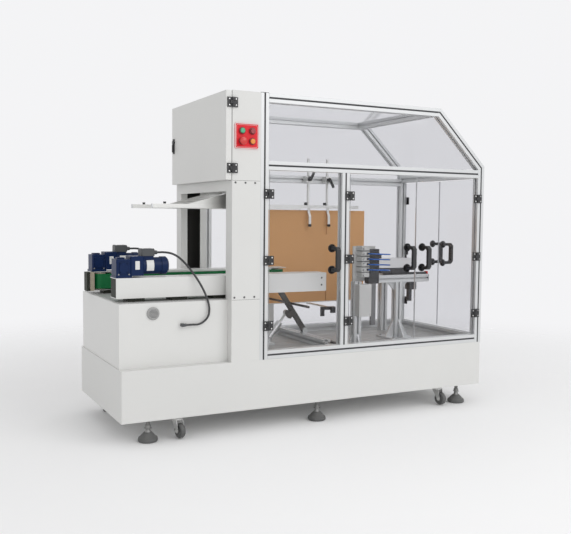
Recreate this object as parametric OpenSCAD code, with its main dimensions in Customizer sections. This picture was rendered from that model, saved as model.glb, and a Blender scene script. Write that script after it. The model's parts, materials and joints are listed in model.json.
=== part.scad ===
// Case erector: a fixed packaging machine that opens flat carton blanks and feeds them out on side belts.
// Millimetres, +Z up. X runs along the line from the outfeed end, Y runs from the front to the back.
// Parts are drawn from the front left corner of the base and then centred on the floor.

/* [Base] */
// Length of the base along the line
base_len = 1886; // [1800:2:2100]
// Depth of the base from front to back
base_depth = 706; // [690:2:800]
// Clear height under the base
floor_gap = 100; // [95:1:120]
// Height of the base plinth
plinth_h = 218; // [180:2:260]
// Radius of the plinth's upright edges
plinth_r = 6; // [2:1:12]
// Height of the machine above the floor
total_h = 1490; // [1440:2:1600]

/* [Outfeed cabinet] */
// Height of the outfeed table above the floor
table_z = 588; // [560:2:600]
// Set-back of the cabinet from the base's front edge
cabinet_front = 44; // [38:1:60]
// Set-back of the cabinet from the base's back edge
cabinet_back = 24; // [10:1:60]
// Set-back of the cabinet from the base's left end
cabinet_left = 4; // [0:1:20]
// Thickness of the grey deck plates
deck_t = 3; // [2:0.5:6]

/* [Portal] */
// Distance from the base's left end to the portal
portal_x = 487; // [470:1:520]
// Width of the portal's pillars along the line
portal_w = 135; // [120:1:150]
// Depth of each pillar from front to back
pillar_d = 66; // [50:1:90]
// Width of the pillars' inner lips
pillar_lip = 33; // [20:1:45]
// Thickness of the folded sheet
sheet_t = 3; // [2:0.5:5]
// Height of the beam that joins the pillars
portal_beam_h = 45; // [30:1:60]
// Height of the electrical cabinet
cabinet_h = 383; // [340:1:420]
// Depth of the electrical cabinet's door tray
tray_d = 26; // [20:1:34]
// Set-back of the door tray from the cabinet's back
tray_back = 15; // [5:1:30]
// Gap between the door tray and the cabinet
tray_gap = 3; // [2:0.5:6]

/* [Enclosure] */
// Width of the aluminium profile
bar = 40; // [36:1:45]
// Width of the profile's slots
slot_w = 8; // [7:0.5:10]
// Depth of the profile's slot lips
slot_lip = 4.5; // [3:0.5:6]
// Width of the pocket behind the slot lips
pocket_w = 16; // [12:0.5:20]
// Depth of the profile's slots to their floor
slot_d = 11; // [9:0.5:13]
// Distance from the base's left end to the middle post
mid_post_x = 1040; // [980:2:1100]
// Distance from the machine's top to the front middle rail's centre
mid_rail_z = 313; // [305:1:350]
// Distance from the machine's top to the back middle rail's centre
back_rail_z = 333; // [310:1:360]
// Distance from the base's right end to the roof's knee
knee_x = 291; // [246:1:326]
// Fall of the sloping roof
slope_deg = 44; // [40:0.5:45]
// Thickness of the clear panels
panel_t = 6; // [5:0.5:6.5]
// Gap between a panel's edge and the floor of its slot
panel_play = 0.3; // [0.1:0.1:0.8]

/* [Clear doors] */
// Thickness of the clear door sheets
door_t = 6; // [5:0.5:10]
// Gap round each door sheet
door_gap = 5; // [4:0.5:8]
// Height of the top hinges above the floor
hinge_top = 1052; // [1000:2:1100]
// Height of the middle hinges above the floor
hinge_mid = 759; // [700:2:820]
// Height of the bottom hinges above the floor
hinge_low = 469; // [430:2:520]
// Height of a hinge
hinge_h = 42; // [34:1:50]
// Reach of each hinge leaf from the pin
leaf_w = 24; // [18:1:30]
// Thickness of a hinge leaf
leaf_t = 5; // [3:0.5:6]
// Distance from the mounting face to the pin's centre
hinge_off = 6; // [5.5:0.5:8]
// Diameter of a hinge knuckle
knuckle_d = 10; // [9:0.5:11]
// Diameter of a hinge pin
pin_d = 5; // [4:0.5:6]
// Height of the handles' centre above the floor
handle_z = 760; // [720:2:820]
// Spacing of a handle's legs
handle_span = 100; // [90:1:140]
// Reach of a handle from its door
handle_reach = 56; // [48:1:64]
// Width of a handle's grip
grip_w = 20; // [16:1:26]
// Thickness of a handle's grip
grip_t = 15; // [12:1:20]
// Distance from a door's free edge to its handle
handle_inset = 42; // [36:1:60]
// Diameter of the round nuts behind a handle
nut_d = 38; // [30:1:44]

/* [Control panel] */
// Width of the control plate
plate_w = 115; // [105:1:124]
// Height of the control plate
plate_h = 111; // [100:1:130]
// Thickness of the control plate
plate_t = 3; // [2:0.5:5]
// Height of the control plate's centre above the electrical cabinet's underside
plate_z = 191; // [133:1:233]
// Diameter of the button caps
cap_d = 22; // [18:0.5:24]
// Diameter of the emergency stop's mushroom head
mushroom_d = 34; // [30:1:38]
// Travel of the buttons
press = 4; // [2:0.5:5]

/* [Feet and castors] */
// Diameter of a levelling foot
foot_d = 85; // [70:1:90]
// Height of a levelling foot's rubber pad
foot_h = 40; // [30:1:46]
// Diameter of a foot's threaded stem
stem_d = 16; // [12:1:20]
// Distance of the feet from the base's front and back
foot_y = 62; // [50:1:80]
// Distance from the base's left end to the left feet
foot_left = 131; // [110:1:140]
// Distance from the base's left end to the middle feet
foot_mid = 953; // [800:1:1100]
// Distance from the base's right end to the right feet
foot_right = 101; // [90:1:110]
// Distance from the base's left end to the left castors
castor_left = 262; // [255:1:320]
// Distance from the base's right end to the right castors
castor_right = 224; // [218:1:280]
// Diameter of a castor wheel
wheel_d = 63; // [55:1:64]
// Width of a castor wheel
wheel_w = 22; // [18:1:26]
// Offset of a castor's axle from its swivel
trail = 22; // [16:1:24]
// Height of the castor wheels above the floor
wheel_lift = 3; // [1:0.5:6]

/* [Side belts] */
// Depth of the middle of the carton lane
lane_y = 340; // [330:1:350]
// Clear width between the two belts
lane_w = 284; // [262:1:310]
// Left end of the belt covers
unit_x0 = 5; // [0:1:20]
// Right end of the belt covers
unit_x1 = 1010; // [920:2:1020]
// Underside of the belt covers above the table
unit_lift = 18; // [14:1:24]
// Height of the belt covers
unit_h = 86; // [80:1:100]
// Depth of a belt unit from its cover to its belt
unit_d = 111; // [105:1:118]
// Height of the belts
belt_h = 68; // [60:1:70]
// Thickness of the belts
belt_t = 3; // [2:0.5:5]
// Diameter of the belt rollers
roller_d = 48; // [44:1:52]
// Distance from a cover's end to its roller
roller_in = 40; // [34:1:50]

/* [Gearmotors] */
// Length of the gearbox
gear_l = 62; // [54:1:70]
// Width of the gearbox
gear_w = 84; // [70:1:90]
// Height of the gearbox
gear_h = 78; // [70:1:90]
// Length of the adapter between gearbox and motor
adapter_l = 56; // [44:1:64]
// Diameter of the motor
motor_d = 78; // [60:1:80]
// Length of the motor with its fan cowl
motor_l = 113; // [90:1:130]
// Length of the terminal box
term_l = 58; // [50:1:66]
// Height of the terminal box
term_h = 28; // [22:1:36]
// Diameter of the motor cables
cable_d = 9; // [8:0.5:10]

/* [Carton guides] */
// Underside of the top guides
guide_z = 987; // [960:1:1000]
// Height of a guide's bar
guide_h = 18; // [14:1:24]
// Width of a guide's bar
guide_w = 16; // [12:1:24]
// Left end of the top guides
guide_x0 = 182; // [150:2:260]
// Right end of the top guides
guide_x1 = 900; // [700:5:960]
// Depth of the front top guide
guide_front = 150; // [120:2:180]
// Depth of the rear top guide
guide_rear = 450; // [420:2:500]

/* [Carton blank] */
// Length of the folded blank
blank_l = 664; // [560:2:664]
// Height of the folded blank
blank_h = 500; // [420:2:500]
// Thickness of the folded blank
blank_t = 8; // [4:0.5:10]
// Right edge of the blank
blank_x1 = 1579; // [1540:1:1600]
// Height of the ledge under the blank
ledge_z = 490; // [460:1:490]
// Distance from the base's back to the blank's front face
blank_y = 66; // [61:1:74]
// Diameter of the hold-down rods
rod_d = 14; // [10:1:18]

/* [Pusher] */
// Distance from the base's left end to the pusher post
post_x = 1555; // [1540:1:1570]
// Depth of the pusher post
post_y = 280; // [260:1:300]
// Left end of the pusher arm
arm_x0 = 1400; // [1390:1:1420]
// Right end of the pusher arm
arm_x1 = 1743; // [1700:1:1760]
// Underside of the pusher arm
arm_z = 615; // [590:1:640]
// Length of the pusher cylinder
cyl_l = 212; // [200:1:230]
// Height of the pusher cylinder
cyl_h = 50; // [44:1:60]
// Width of the pusher cylinder
cyl_w = 56; // [50:1:64]
// Travel of the pusher
push_stroke = 150; // [80:5:150]
// Diameter of the pusher's guide rods
guide_rod_d = 16; // [10:1:18]

/* [Flap folder] */
// Distance from the base's left end to the folder's pivot
folder_x = 1053; // [1045:1:1060]
// Height of the folder's pivot
folder_z = 378; // [376:1:384]
// Depth of the folder's middle
folder_y = 380; // [360:1:400]
// Length of the folder arm
folder_l = 246; // [220:2:250]
// Lean of the folder arm from upright
folder_lean = 34; // [30:1:38]
// Width of the folder arm
folder_w = 34; // [26:1:40]
// Diameter of the folder's cylinder
folder_cyl_d = 32; // [26:1:36]
// Diameter of the folder's piston rod
folder_rod_d = 12; // [8:1:14]

/* [Hidden] */
$fn = 48;
// Running clearance round a pin, rod or cap
run = 0.3;
// Overlap of cutting bodies
eps = 1;
// Reach of half-space cutters
big = 400;

// Levels and lines worked out from the driving sizes
mid_rail_level = total_h - mid_rail_z;
back_rail_level = total_h - back_rail_z;
knee_at = base_len - knee_x;
blank_face = base_depth - blank_y;
deck_z = floor_gap + plinth_h;
floor_z = deck_z + deck_t;
box_z = total_h - cabinet_h;
portal_x1 = portal_x + portal_w;
post_l = portal_x1 + bar / 2;
post_m = mid_post_x + bar / 2;
post_r = base_len - bar / 2;
rail_f = bar / 2;
rail_b = base_depth - bar / 2;
top_c = total_h - bar / 2;
low_c = deck_z + bar / 2;
fall_z = top_c - (post_r - knee_at) * tan(slope_deg);
slope_l = (post_r - knee_at) / cos(slope_deg);
knee_cut = slope_deg / 2;
foot_cut = (90 - slope_deg) / 2;
knee_rail = knee_at - bar / 2 * tan(knee_cut) - bar / 2;
// Half the opening that a panel fills past a bar's centre
seat = bar / 2 - slot_d + panel_play;
door_z0 = deck_z + bar + door_gap;
door_z1 = mid_rail_level - bar / 2 - door_gap;
pin_x = 1;
leaf_meet = (mid_post_x + bar + base_len - bar) / 2;
side_meet = base_depth / 2;
unit_z = table_z + unit_lift;
unit_top = unit_z + unit_h;
unit_y = lane_y - lane_w / 2 - unit_d;
belt_face = lane_y - lane_w / 2;
roller_y = belt_face - belt_t - roller_d / 2 - run;
roller_x0 = unit_x0 + roller_in;
roller_x1 = unit_x1 - roller_in - 4;
belt_z = unit_z + (unit_h - belt_h) / 2;
end_reach = 23;
// Left edge of the pale strip at the rear unit's open end
strip_x = -8;
guard_t = 6;
motor_in = 45;
motor_up = 48;
motor_y = unit_y + motor_in;
motor_z = unit_top + motor_up;
gear_x = unit_x0 + 3;
adapter_x = gear_x + gear_l;
motor_x = adapter_x + adapter_l;
pad_top = motor_z + motor_d / 2 + 3;
term_x = motor_x - 7;
term_w = 58;
gland_l = 18;
gland_d = 16;
gland_x = term_x + term_l + gland_l;
gland_z = pad_top + term_h / 2;
plate_x = portal_x + portal_w / 2;
plate_level = box_z + plate_z;
lift_y = rail_b - bar / 2 - 26;
mid_x = (base_len + handle_reach - end_reach) / 2;
mid_y = (base_depth - handle_reach) / 2;
wheel_z = wheel_lift + wheel_d / 2;
fork_top = floor_gap - 12.5;
// Turn of the castors as they stand, from the line towards the front
castor_turn = -78;
button_dx = 24;
button_dz = 22;
foot_xs = [foot_left, foot_mid, base_len - foot_right];
castor_xs = [castor_left, base_len - castor_right];
arm_y = post_y;
rail_top = arm_z + bar + 11;
valve_x = 1212;
valve_y = 140;
valve_z = 640;
cyl_x = arm_x0 + 12;
cyl_seat = 27;
cyl_z = rail_top + cyl_seat;
rod_gap = cyl_w / 4;
jaw_x = arm_x0 - 5;
blank_x0 = blank_x1 - blank_l;
// Rod joint on the folder arm, and the heel pivot of its cylinder on the deck
joint_r = 139;
joint_turn = 47;
joint_x = folder_x - joint_r * sin(joint_turn);
joint_z = folder_z + joint_r * cos(joint_turn);
joint_pin = 10;
joint_play = 1.6;
pivot_pin = 8;
heel_back = 208;
heel_x = folder_x - heel_back;
heel_z = floor_z + 20;
lug_gap = 16;
lug_t = 8;
cyl_turn = atan2(joint_x - heel_x, joint_z - heel_z);
cyl_len = norm([joint_x - heel_x, joint_z - heel_z]);

// Route of the front motor cable, from its gland to the elbow on the cabinet
front_route = [
  [gland_x, motor_y, gland_z],
  [gland_x + 14, motor_y, gland_z],
  [gland_x + 28, motor_y, gland_z],
  [253, 127, 792],
  [280, 116, 779],
  [306, 100, 754],
  [334, 79, 714],
  [361, 59, 667],
  [384, 43, 614],
  [396, 33, 564],
  [391, 30, 524],
  [368, 30, 499],
  [344, 30, 490],
  [322, 30, 490],
  [306, 30, 490],
  [290, 30, 490]
];
// Route of the rear motor cable, from its gland to the grommet on the rear belt cover
rear_route = [
  [gland_x, 2 * lane_y - motor_y, gland_z],
  [gland_x + 14, 2 * lane_y - motor_y, gland_z],
  [gland_x + 28, 2 * lane_y - motor_y, gland_z],
  [252, 547, 792],
  [280, 546, 780],
  [304, 546, 760],
  [315, 546, unit_top + 44],
  [317, 546, unit_top + 30],
  [317, 546, unit_top + 22],
  [317, 546, unit_top + 14]
];

// Shared shapes

// Moves the drawing from the base's corner to the middle of the floor.
module place() {
  translate([-mid_x, -mid_y, 0])
    children();
}

// A block between two opposite corners.
module block(lo, hi) {
  translate(lo)
    cube([hi[0] - lo[0], hi[1] - lo[1], hi[2] - lo[2]]);
}

// A flat rectangle with round corners, centred.
module rounded_rect(w, h, r) {
  square([w, h - 2 * r], center = true);
  square([w - 2 * r, h], center = true);
  for (sx = [-1, 1], sy = [-1, 1])
    translate([sx * (w / 2 - r), sy * (h / 2 - r)])
      circle(r);
}

// A flat outline with two round ends, from one centre to the other along X.
module stadium(l, r) {
  translate([0, -r])
    square([l, 2 * r]);
  circle(r);
  translate([l, 0])
    circle(r);
}

// Section of the slotted aluminium profile.
module profile_section() {
  difference() {
    rounded_rect(bar, bar, 1.5);
    for (a = [0:90:270])
      rotate(a) {
        translate([bar / 2 - slot_d, -slot_w / 2])
          square([slot_d + eps, slot_w]);
        translate([bar / 2 - slot_d, -pocket_w / 2])
          square([slot_d - slot_lip, pocket_w]);
      }
    circle(d = 7);
  }
}

// Profile bars along each axis, given by their ends and their centre line.
module bar_x(x0, x1, y, z) {
  translate([x0, y, z])
    rotate([0, 90, 0])
      linear_extrude(x1 - x0)
        profile_section();
}

module bar_y(x, y0, y1, z) {
  translate([x, y0, z])
    rotate([-90, 0, 0])
      linear_extrude(y1 - y0)
        profile_section();
}

module bar_z(x, y, z0, z1) {
  translate([x, y, z0])
    linear_extrude(z1 - z0)
      profile_section();
}

// Half-spaces that cut the mitres at the knee and at the foot of the slope.
module past_knee(side) {
  translate([knee_at, 0, top_c])
    rotate([0, knee_cut, 0])
      translate([side > 0 ? 0 : -big, -big, -big / 2])
        cube([big, base_depth + 2 * big, big]);
}

module past_slope_foot(side) {
  translate([post_r, 0, fall_z])
    rotate([0, -foot_cut, 0])
      translate([-big / 2, -big, side > 0 ? 0 : -big])
        cube([big, base_depth + 2 * big, big]);
}

// Draws its children mirrored, for the rear belt unit alone, or for both units.
module rear_unit() {
  translate([0, 2 * lane_y, 0])
    mirror([0, 1, 0])
      children();
}

module both_units() {
  children();
  rear_unit()
    children();
}

// A round tube swept along a list of points; its rings are lined up by a direction the route never takes.
function route_dir(p, i) =
  let (a = p[max(i - 1, 0)], b = p[min(i + 1, len(p) - 1)], d = b - a) d / norm(d);
function ring_side(t, across) = let (s = cross(t, across)) s / norm(s);
function tube_points(p, d, across, n) = [
  for (i = [0:len(p) - 1])
    let (t = route_dir(p, i), s = ring_side(t, across), u = cross(s, t))
      for (k = [0:n - 1])
        p[i] + d / 2 * (cos(360 * k / n) * s + sin(360 * k / n) * u)
];
function tube_faces(rings, n) = concat(
  [[for (k = [0:n - 1]) k]],
  [for (i = [0:rings - 2], k = [0:n - 1])
    [i * n + k, (i + 1) * n + k, (i + 1) * n + (k + 1) % n, i * n + (k + 1) % n]],
  [[for (k = [n - 1:-1:0]) (rings - 1) * n + k]]
);
// Points of a smooth curve through a route, with a few steps between its points.
function spline(a, b, c, d, t) =
  0.5 * (2 * b + (c - a) * t + (2 * a - 5 * b + 4 * c - d) * t * t + (3 * b - a - 3 * c + d) * t * t * t);
function smooth(p, steps) = concat(
  [for (i = [0:len(p) - 2], s = [0:steps - 1])
    spline(p[max(i - 1, 0)], p[i], p[i + 1], p[min(i + 2, len(p) - 1)], s / steps)],
  [p[len(p) - 1]]
);
module tube(p, d, across, n = 8, steps = 2) {
  route = smooth(p, steps);
  polyhedron(points = tube_points(route, d, across, n), faces = tube_faces(len(route), n), convexity = 6);
}

// Base and housings

module base_plinth() {
  color("gainsboro")
    place()
      translate([base_len / 2, base_depth / 2, floor_gap])
        linear_extrude(plinth_h)
          rounded_rect(base_len, base_depth, plinth_r);
}

module outfeed_cabinet() {
  color("whitesmoke")
    place()
      translate([0, 0, deck_z])
        linear_extrude(table_z - deck_z) {
          translate([cabinet_left, cabinet_front])
            square([portal_x - cabinet_left, base_depth - cabinet_front - cabinet_back]);
          translate([portal_x - eps, pillar_d])
            square([portal_w + eps, base_depth - 2 * pillar_d]);
        }
}

module deck_plates() {
  margin = 8;
  slot_n = 7;
  slot_pitch = (base_depth - 2 * bar) / slot_n;
  color("darkgray")
    place() {
      block([cabinet_left + margin, cabinet_front + margin, table_z],
            [portal_x - margin, base_depth - cabinet_back - margin, table_z + deck_t]);
      block([portal_x - margin - eps, pillar_d + margin, table_z],
            [portal_x1 - margin, base_depth - pillar_d - margin, table_z + deck_t]);
      difference() {
        block([portal_x1 + bar, bar, deck_z], [base_len - bar, base_depth - bar, floor_z]);
        for (i = [1:slot_n - 1])
          block([portal_x1 + bar + 60, bar + i * slot_pitch - 6, deck_z + deck_t / 2],
                [base_len - bar - 60, bar + i * slot_pitch + 6, floor_z + eps]);
      }
    }
}

// Section of a folded pillar, open on its inner side.
module pillar_section() {
  difference() {
    square([portal_w, pillar_d]);
    translate([sheet_t, sheet_t])
      square([portal_w - 2 * sheet_t, pillar_d - 2 * sheet_t]);
    translate([pillar_lip, pillar_d - 2 * sheet_t])
      square([portal_w - 2 * pillar_lip, 3 * sheet_t]);
  }
}

module portal_frame() {
  color("gainsboro")
    place() {
      translate([portal_x, 0, deck_z])
        linear_extrude(box_z - deck_z)
          pillar_section();
      translate([portal_x, base_depth, deck_z])
        mirror([0, 1, 0])
          linear_extrude(box_z - deck_z)
            pillar_section();
      difference() {
        block([portal_x, pillar_d - sheet_t, box_z - portal_beam_h],
              [portal_x1, base_depth - pillar_d + sheet_t, box_z]);
        block([portal_x + sheet_t, pillar_d - 2 * sheet_t, box_z - portal_beam_h - eps],
              [portal_x1 - sheet_t, base_depth - pillar_d + 2 * sheet_t, box_z - sheet_t]);
      }
    }
}

module electrical_cabinet() {
  lip = 18;
  color("gainsboro")
    place()
      difference() {
        block([portal_x, 0, box_z], [portal_x1, base_depth, total_h]);
        block([portal_x + sheet_t, sheet_t, box_z + sheet_t],
              [portal_x1 - sheet_t, base_depth - sheet_t, total_h - sheet_t]);
        block([portal_x - eps, lip, box_z + lip],
              [portal_x + sheet_t + eps, base_depth - lip - tray_back, total_h - lip]);
      }
}

module electrical_door() {
  x1 = portal_x - tray_gap;
  x0 = x1 - tray_d;
  y1 = base_depth - tray_back;
  color("whitesmoke")
    place()
      difference() {
        block([x0, 0, box_z + 2], [x1, y1, total_h - 2]);
        block([x0 + sheet_t, sheet_t, box_z + 2 + sheet_t],
              [x1 + eps, y1 - sheet_t, total_h - 2 - sheet_t]);
      }
}

// Hinges: the pin stands at the origin, the mounting face lies behind it at +Y.

module knuckle(h) {
  cylinder(d = knuckle_d, h = h, center = true);
}

module hinge_leaf_plate() {
  translate([knuckle_d / 2 + 1, hinge_off - leaf_t, -hinge_h / 2])
    cube([leaf_w - knuckle_d / 2 - 1, leaf_t, hinge_h]);
}

// The leaf that moves with a door, with the middle knuckle and its bore.
module moving_leaf() {
  mid_h = hinge_h / 3;
  difference() {
    union() {
      hinge_leaf_plate();
      knuckle(mid_h);
      translate([0, -knuckle_d / 2 + 2, -mid_h / 2])
        cube([leaf_w / 2, knuckle_d / 2 + hinge_off - leaf_t, mid_h]);
    }
    cylinder(d = pin_d + 2 * run, h = hinge_h, center = true);
  }
}

// The leaf that stays on a post, with two knuckles and the pin.
module fixed_leaf() {
  mid_h = hinge_h / 3 + 2 * run;
  end_h = (hinge_h - mid_h) / 2;
  mirror([1, 0, 0])
    hinge_leaf_plate();
  cylinder(d = pin_d, h = hinge_h, center = true);
  for (s = [-1, 1])
    translate([0, 0, s * (mid_h + end_h) / 2]) {
      knuckle(end_h);
      translate([-leaf_w / 2, -knuckle_d / 2 + 2, -end_h / 2])
        cube([leaf_w / 2, knuckle_d / 2 + hinge_off - leaf_t, end_h]);
    }
}

module at_hinges() {
  for (z = [hinge_low, hinge_mid, hinge_top])
    translate([0, 0, z])
      children();
}

// Places of the five clear doors: the pin's line becomes the origin, the door runs to +X.
module at_front_left() {
  translate([portal_x1 + bar + pin_x, -hinge_off, 0])
    children();
}

module at_front_middle() {
  translate([mid_post_x + bar + pin_x, -hinge_off, 0])
    children();
}

module at_front_right() {
  translate([base_len - bar - pin_x, -hinge_off, 0])
    mirror([1, 0, 0])
      children();
}

module at_end_front() {
  translate([base_len + hinge_off, bar + pin_x, 0])
    rotate(90)
      children();
}

module at_end_rear() {
  translate([base_len + hinge_off, base_depth - bar - pin_x, 0])
    rotate(90)
      mirror([1, 0, 0])
        children();
}

// Free edge of each door, measured from its pin.
left_free = mid_post_x - door_gap - portal_x1 - bar - pin_x;
leaf_free = leaf_meet - door_gap / 2 - mid_post_x - bar - pin_x;
end_free = side_meet - door_gap / 2 - bar - pin_x;

module door_sheet(free) {
  color("lightsteelblue", 0.35)
    block([door_gap - pin_x, hinge_off, door_z0], [free, hinge_off + door_t, door_z1]);
}

// A bow handle with chamfered corners, drawn on the door's face at Y = 0, reaching to -Y.
module bow_handle() {
  chamfer = 14;
  half = handle_span / 2 + grip_t / 2;
  rotate([90, 0, 90])
    linear_extrude(grip_w, center = true)
      difference() {
        polygon([
          [0, -half], [-handle_reach + chamfer, -half], [-handle_reach, -half + chamfer],
          [-handle_reach, half - chamfer], [-handle_reach + chamfer, half], [0, half]
        ]);
        polygon([
          [eps, -half + grip_t], [-handle_reach + grip_t + chamfer / 2, -half + grip_t],
          [-handle_reach + grip_t, -half + grip_t + chamfer / 2],
          [-handle_reach + grip_t, half - grip_t - chamfer / 2],
          [-handle_reach + grip_t + chamfer / 2, half - grip_t], [eps, half - grip_t]
        ]);
      }
}

// The round nut behind a handle, a domed cap that reaches to +Y.
module round_nut() {
  rim = 6;
  rotate([-90, 0, 0])
    rotate_extrude()
      polygon([
        [0, 0], [nut_d / 2, 0], [nut_d / 2, rim], [nut_d / 2 - 3, rim + 5],
        [nut_d / 2 - 9, rim + 9], [0, rim + 10]
      ]);
}

module door_fittings(free) {
  color("dimgray") {
    at_hinges()
      moving_leaf();
    translate([free - handle_inset, hinge_off, handle_z]) {
      bow_handle();
      for (s = [-1, 1])
        translate([0, door_t, s * handle_span / 2])
          round_nut();
    }
  }
}

module front_door_left() {
  place()
    at_front_left()
      door_sheet(left_free);
}

module front_door_middle() {
  place()
    at_front_middle()
      door_sheet(leaf_free);
}

module front_door_right() {
  place()
    at_front_right()
      door_sheet(leaf_free);
}

module end_door_front() {
  place()
    at_end_front()
      door_sheet(end_free);
}

module end_door_rear() {
  place()
    at_end_rear()
      door_sheet(end_free);
}

module front_door_left_fittings() {
  place()
    at_front_left()
      door_fittings(left_free);
}

module front_door_middle_fittings() {
  place()
    at_front_middle()
      door_fittings(leaf_free);
}

module front_door_right_fittings() {
  place()
    at_front_right()
      door_fittings(leaf_free);
}

module end_door_front_fittings() {
  place()
    at_end_front()
      door_fittings(end_free);
}

module end_door_rear_fittings() {
  place()
    at_end_rear()
      door_fittings(end_free);
}

// Hinges of the electrical cabinet's door, whose leaves run to -X.
module at_box_hinges() {
  inset = 52;
  for (z = [box_z + inset, total_h - inset])
    translate([portal_x, -hinge_off, z])
      mirror([1, 0, 0])
        children();
}

module hinge_leaves() {
  color("dimgray")
    place() {
      at_front_left()
        at_hinges()
          fixed_leaf();
      at_front_middle()
        at_hinges()
          fixed_leaf();
      at_front_right()
        at_hinges()
          fixed_leaf();
      at_end_front()
        at_hinges()
          fixed_leaf();
      at_end_rear()
        at_hinges()
          fixed_leaf();
      at_box_hinges()
        fixed_leaf();
    }
}

module electrical_door_fittings() {
  lock_h = 74;
  lock_w = 16;
  lock_in = 29;
  key_d = 22;
  lock_z = box_z + cabinet_h / 2;
  face_x = portal_x - tray_gap - tray_d;
  color("dimgray")
    place() {
      at_box_hinges()
        moving_leaf();
      translate([face_x, base_depth - tray_back - lock_in, lock_z])
        rotate([0, -90, 0]) {
          linear_extrude(5)
            rounded_rect(lock_h, lock_w, 5);
          translate([lock_h / 4, 0, 0])
            cylinder(d = key_d, h = 8);
          translate([-lock_h / 2 + 8, -4, 0])
            cube([lock_h / 2, 8, 11]);
        }
    }
}

// Control panel

module at_buttons() {
  for (c = [[-1, 1], [1, 1], [-1, -1], [1, -1]])
    translate([plate_x + c[0] * button_dx, -plate_t, plate_level + c[1] * button_dz])
      rotate([90, 0, 0])
        children();
}

module at_button(sx, sz) {
  place()
    translate([plate_x + sx * button_dx, -plate_t, plate_level + sz * button_dz])
      rotate([90, 0, 0])
        children();
}

module control_plate() {
  corner = 9;
  color("crimson")
    place()
      translate([plate_x, 0, plate_level])
        rotate([90, 0, 0])
          linear_extrude(plate_t)
            rounded_rect(plate_w, plate_h, corner);
}

// Height of the bezel rings above the plate
bezel_h = 8;
module button_bezels() {
  color("dimgray")
    place()
      at_buttons()
        rotate_extrude()
          polygon([
            [cap_d / 2 + run, 0], [cap_d / 2 + 4, 0], [cap_d / 2 + 4, bezel_h - 2],
            [cap_d / 2 + 2.5, bezel_h], [cap_d / 2 + run, bezel_h]
          ]);
}

// A flat button cap that slides in its bezel.
module button_cap() {
  rise = press + 1;
  top = bezel_h + 5;
  rotate_extrude()
    polygon([
      [0, rise], [cap_d / 2, rise], [cap_d / 2, top - 1.5], [cap_d / 2 - 1.5, top], [0, top]
    ]);
}

module start_button() {
  color("mediumseagreen")
    at_button(-1, 1)
      button_cap();
}

module stop_button() {
  color("firebrick")
    at_button(1, 1)
      button_cap();
}

module reset_button() {
  color("orange")
    at_button(1, -1)
      button_cap();
}

module emergency_stop() {
  rise = press + 1;
  neck = bezel_h + press + 4;
  r = mushroom_d / 2;
  color("red")
    at_button(-1, -1)
      rotate_extrude()
        polygon([
          [0, rise], [cap_d / 2, rise], [cap_d / 2, neck], [r, neck + 1], [r, neck + 6],
          [r - 3, neck + 10], [r - 9, neck + 12], [0, neck + 13]
        ]);
}

// Enclosure

module enclosure_posts() {
  color("silver")
    place() {
      for (y = [rail_f, rail_b])
        bar_z(post_l, y, deck_z, total_h);
      bar_z(post_m, rail_f, deck_z + bar, mid_rail_level - bar / 2);
      for (y = [rail_f, rail_b])
        difference() {
          bar_z(post_r, y, deck_z, fall_z + bar);
          past_slope_foot(1);
        }
    }
}

module long_rails() {
  x0 = portal_x1 + bar;
  x1 = base_len - bar;
  color("silver")
    place() {
      for (y = [rail_f, rail_b])
        bar_x(x0, x1, y, low_c);
      bar_x(x0, x1, rail_f, mid_rail_level);
      bar_x(x0, x1, rail_b, back_rail_level);
      for (y = [rail_f, rail_b])
        difference() {
          bar_x(x0, knee_at + bar, y, top_c);
          past_knee(1);
        }
    }
}

module cross_rails() {
  y0 = bar;
  y1 = base_depth - bar;
  color("silver")
    place() {
      bar_y(post_l, y0, y1, top_c);
      bar_y(knee_rail, y0, y1, top_c);
      bar_y(post_r, y0, y1, low_c);
      bar_y(post_r, y0, y1, mid_rail_level);
      for (y = [rail_f, rail_b])
        difference() {
          translate([knee_at, y, top_c])
            rotate([0, slope_deg, 0])
              bar_x(-bar, slope_l + bar, 0, 0);
          past_knee(-1);
          past_slope_foot(-1);
        }
    }
}

// Outline of a gable panel above a middle rail, in X and Z.
module gable_outline(rail_z) {
  polygon([
    [post_l + seat, rail_z + seat],
    [post_r - seat, rail_z + seat],
    [post_r - seat, fall_z - seat * tan(foot_cut)],
    [knee_at - seat * tan(knee_cut), top_c - seat],
    [post_l + seat, top_c - seat]
  ]);
}

module upright_panel(y) {
  translate([0, y + panel_t / 2, 0])
    rotate([90, 0, 0])
      linear_extrude(panel_t)
        children();
}

module clear_panels() {
  color("lightsteelblue", 0.35)
    place() {
      upright_panel(rail_f)
        gable_outline(mid_rail_level);
      upright_panel(rail_b)
        gable_outline(back_rail_level);
      upright_panel(rail_b)
        translate([post_l + seat, low_c + seat])
          square([post_r - post_l - 2 * seat, back_rail_level - low_c - 2 * seat]);
      block([post_l + bar / 2 + panel_play, rail_f + seat, top_c - panel_t / 2],
            [knee_rail - seat, rail_b - seat, top_c + panel_t / 2]);
      block([post_l + seat, bar + panel_play, top_c - panel_t / 2],
            [post_l + bar, base_depth - bar - panel_play, top_c + panel_t / 2]);
      translate([knee_at, 0, top_c])
        rotate([0, slope_deg, 0])
          block([panel_t / 2, rail_f + seat, -panel_t / 2],
                [slope_l - panel_t / 2, rail_b - seat, panel_t / 2]);
    }
}

// Feet and castors

module at_feet() {
  for (x = foot_xs, y = [foot_y, base_depth - foot_y])
    translate([x, y, 0])
      children();
}

module foot_pads() {
  rim = 17;
  shoulder = 9;
  r = foot_d / 2;
  color("dimgray")
    place()
      at_feet()
        rotate_extrude()
          polygon([
            [0, 0], [r - 4, 0], [r - 1, 3], [r, rim / 2], [r - 2, rim], [r - shoulder, rim + 5],
            [stem_d + 8, foot_h - 7], [stem_d, foot_h], [0, foot_h]
          ]);
}

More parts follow.
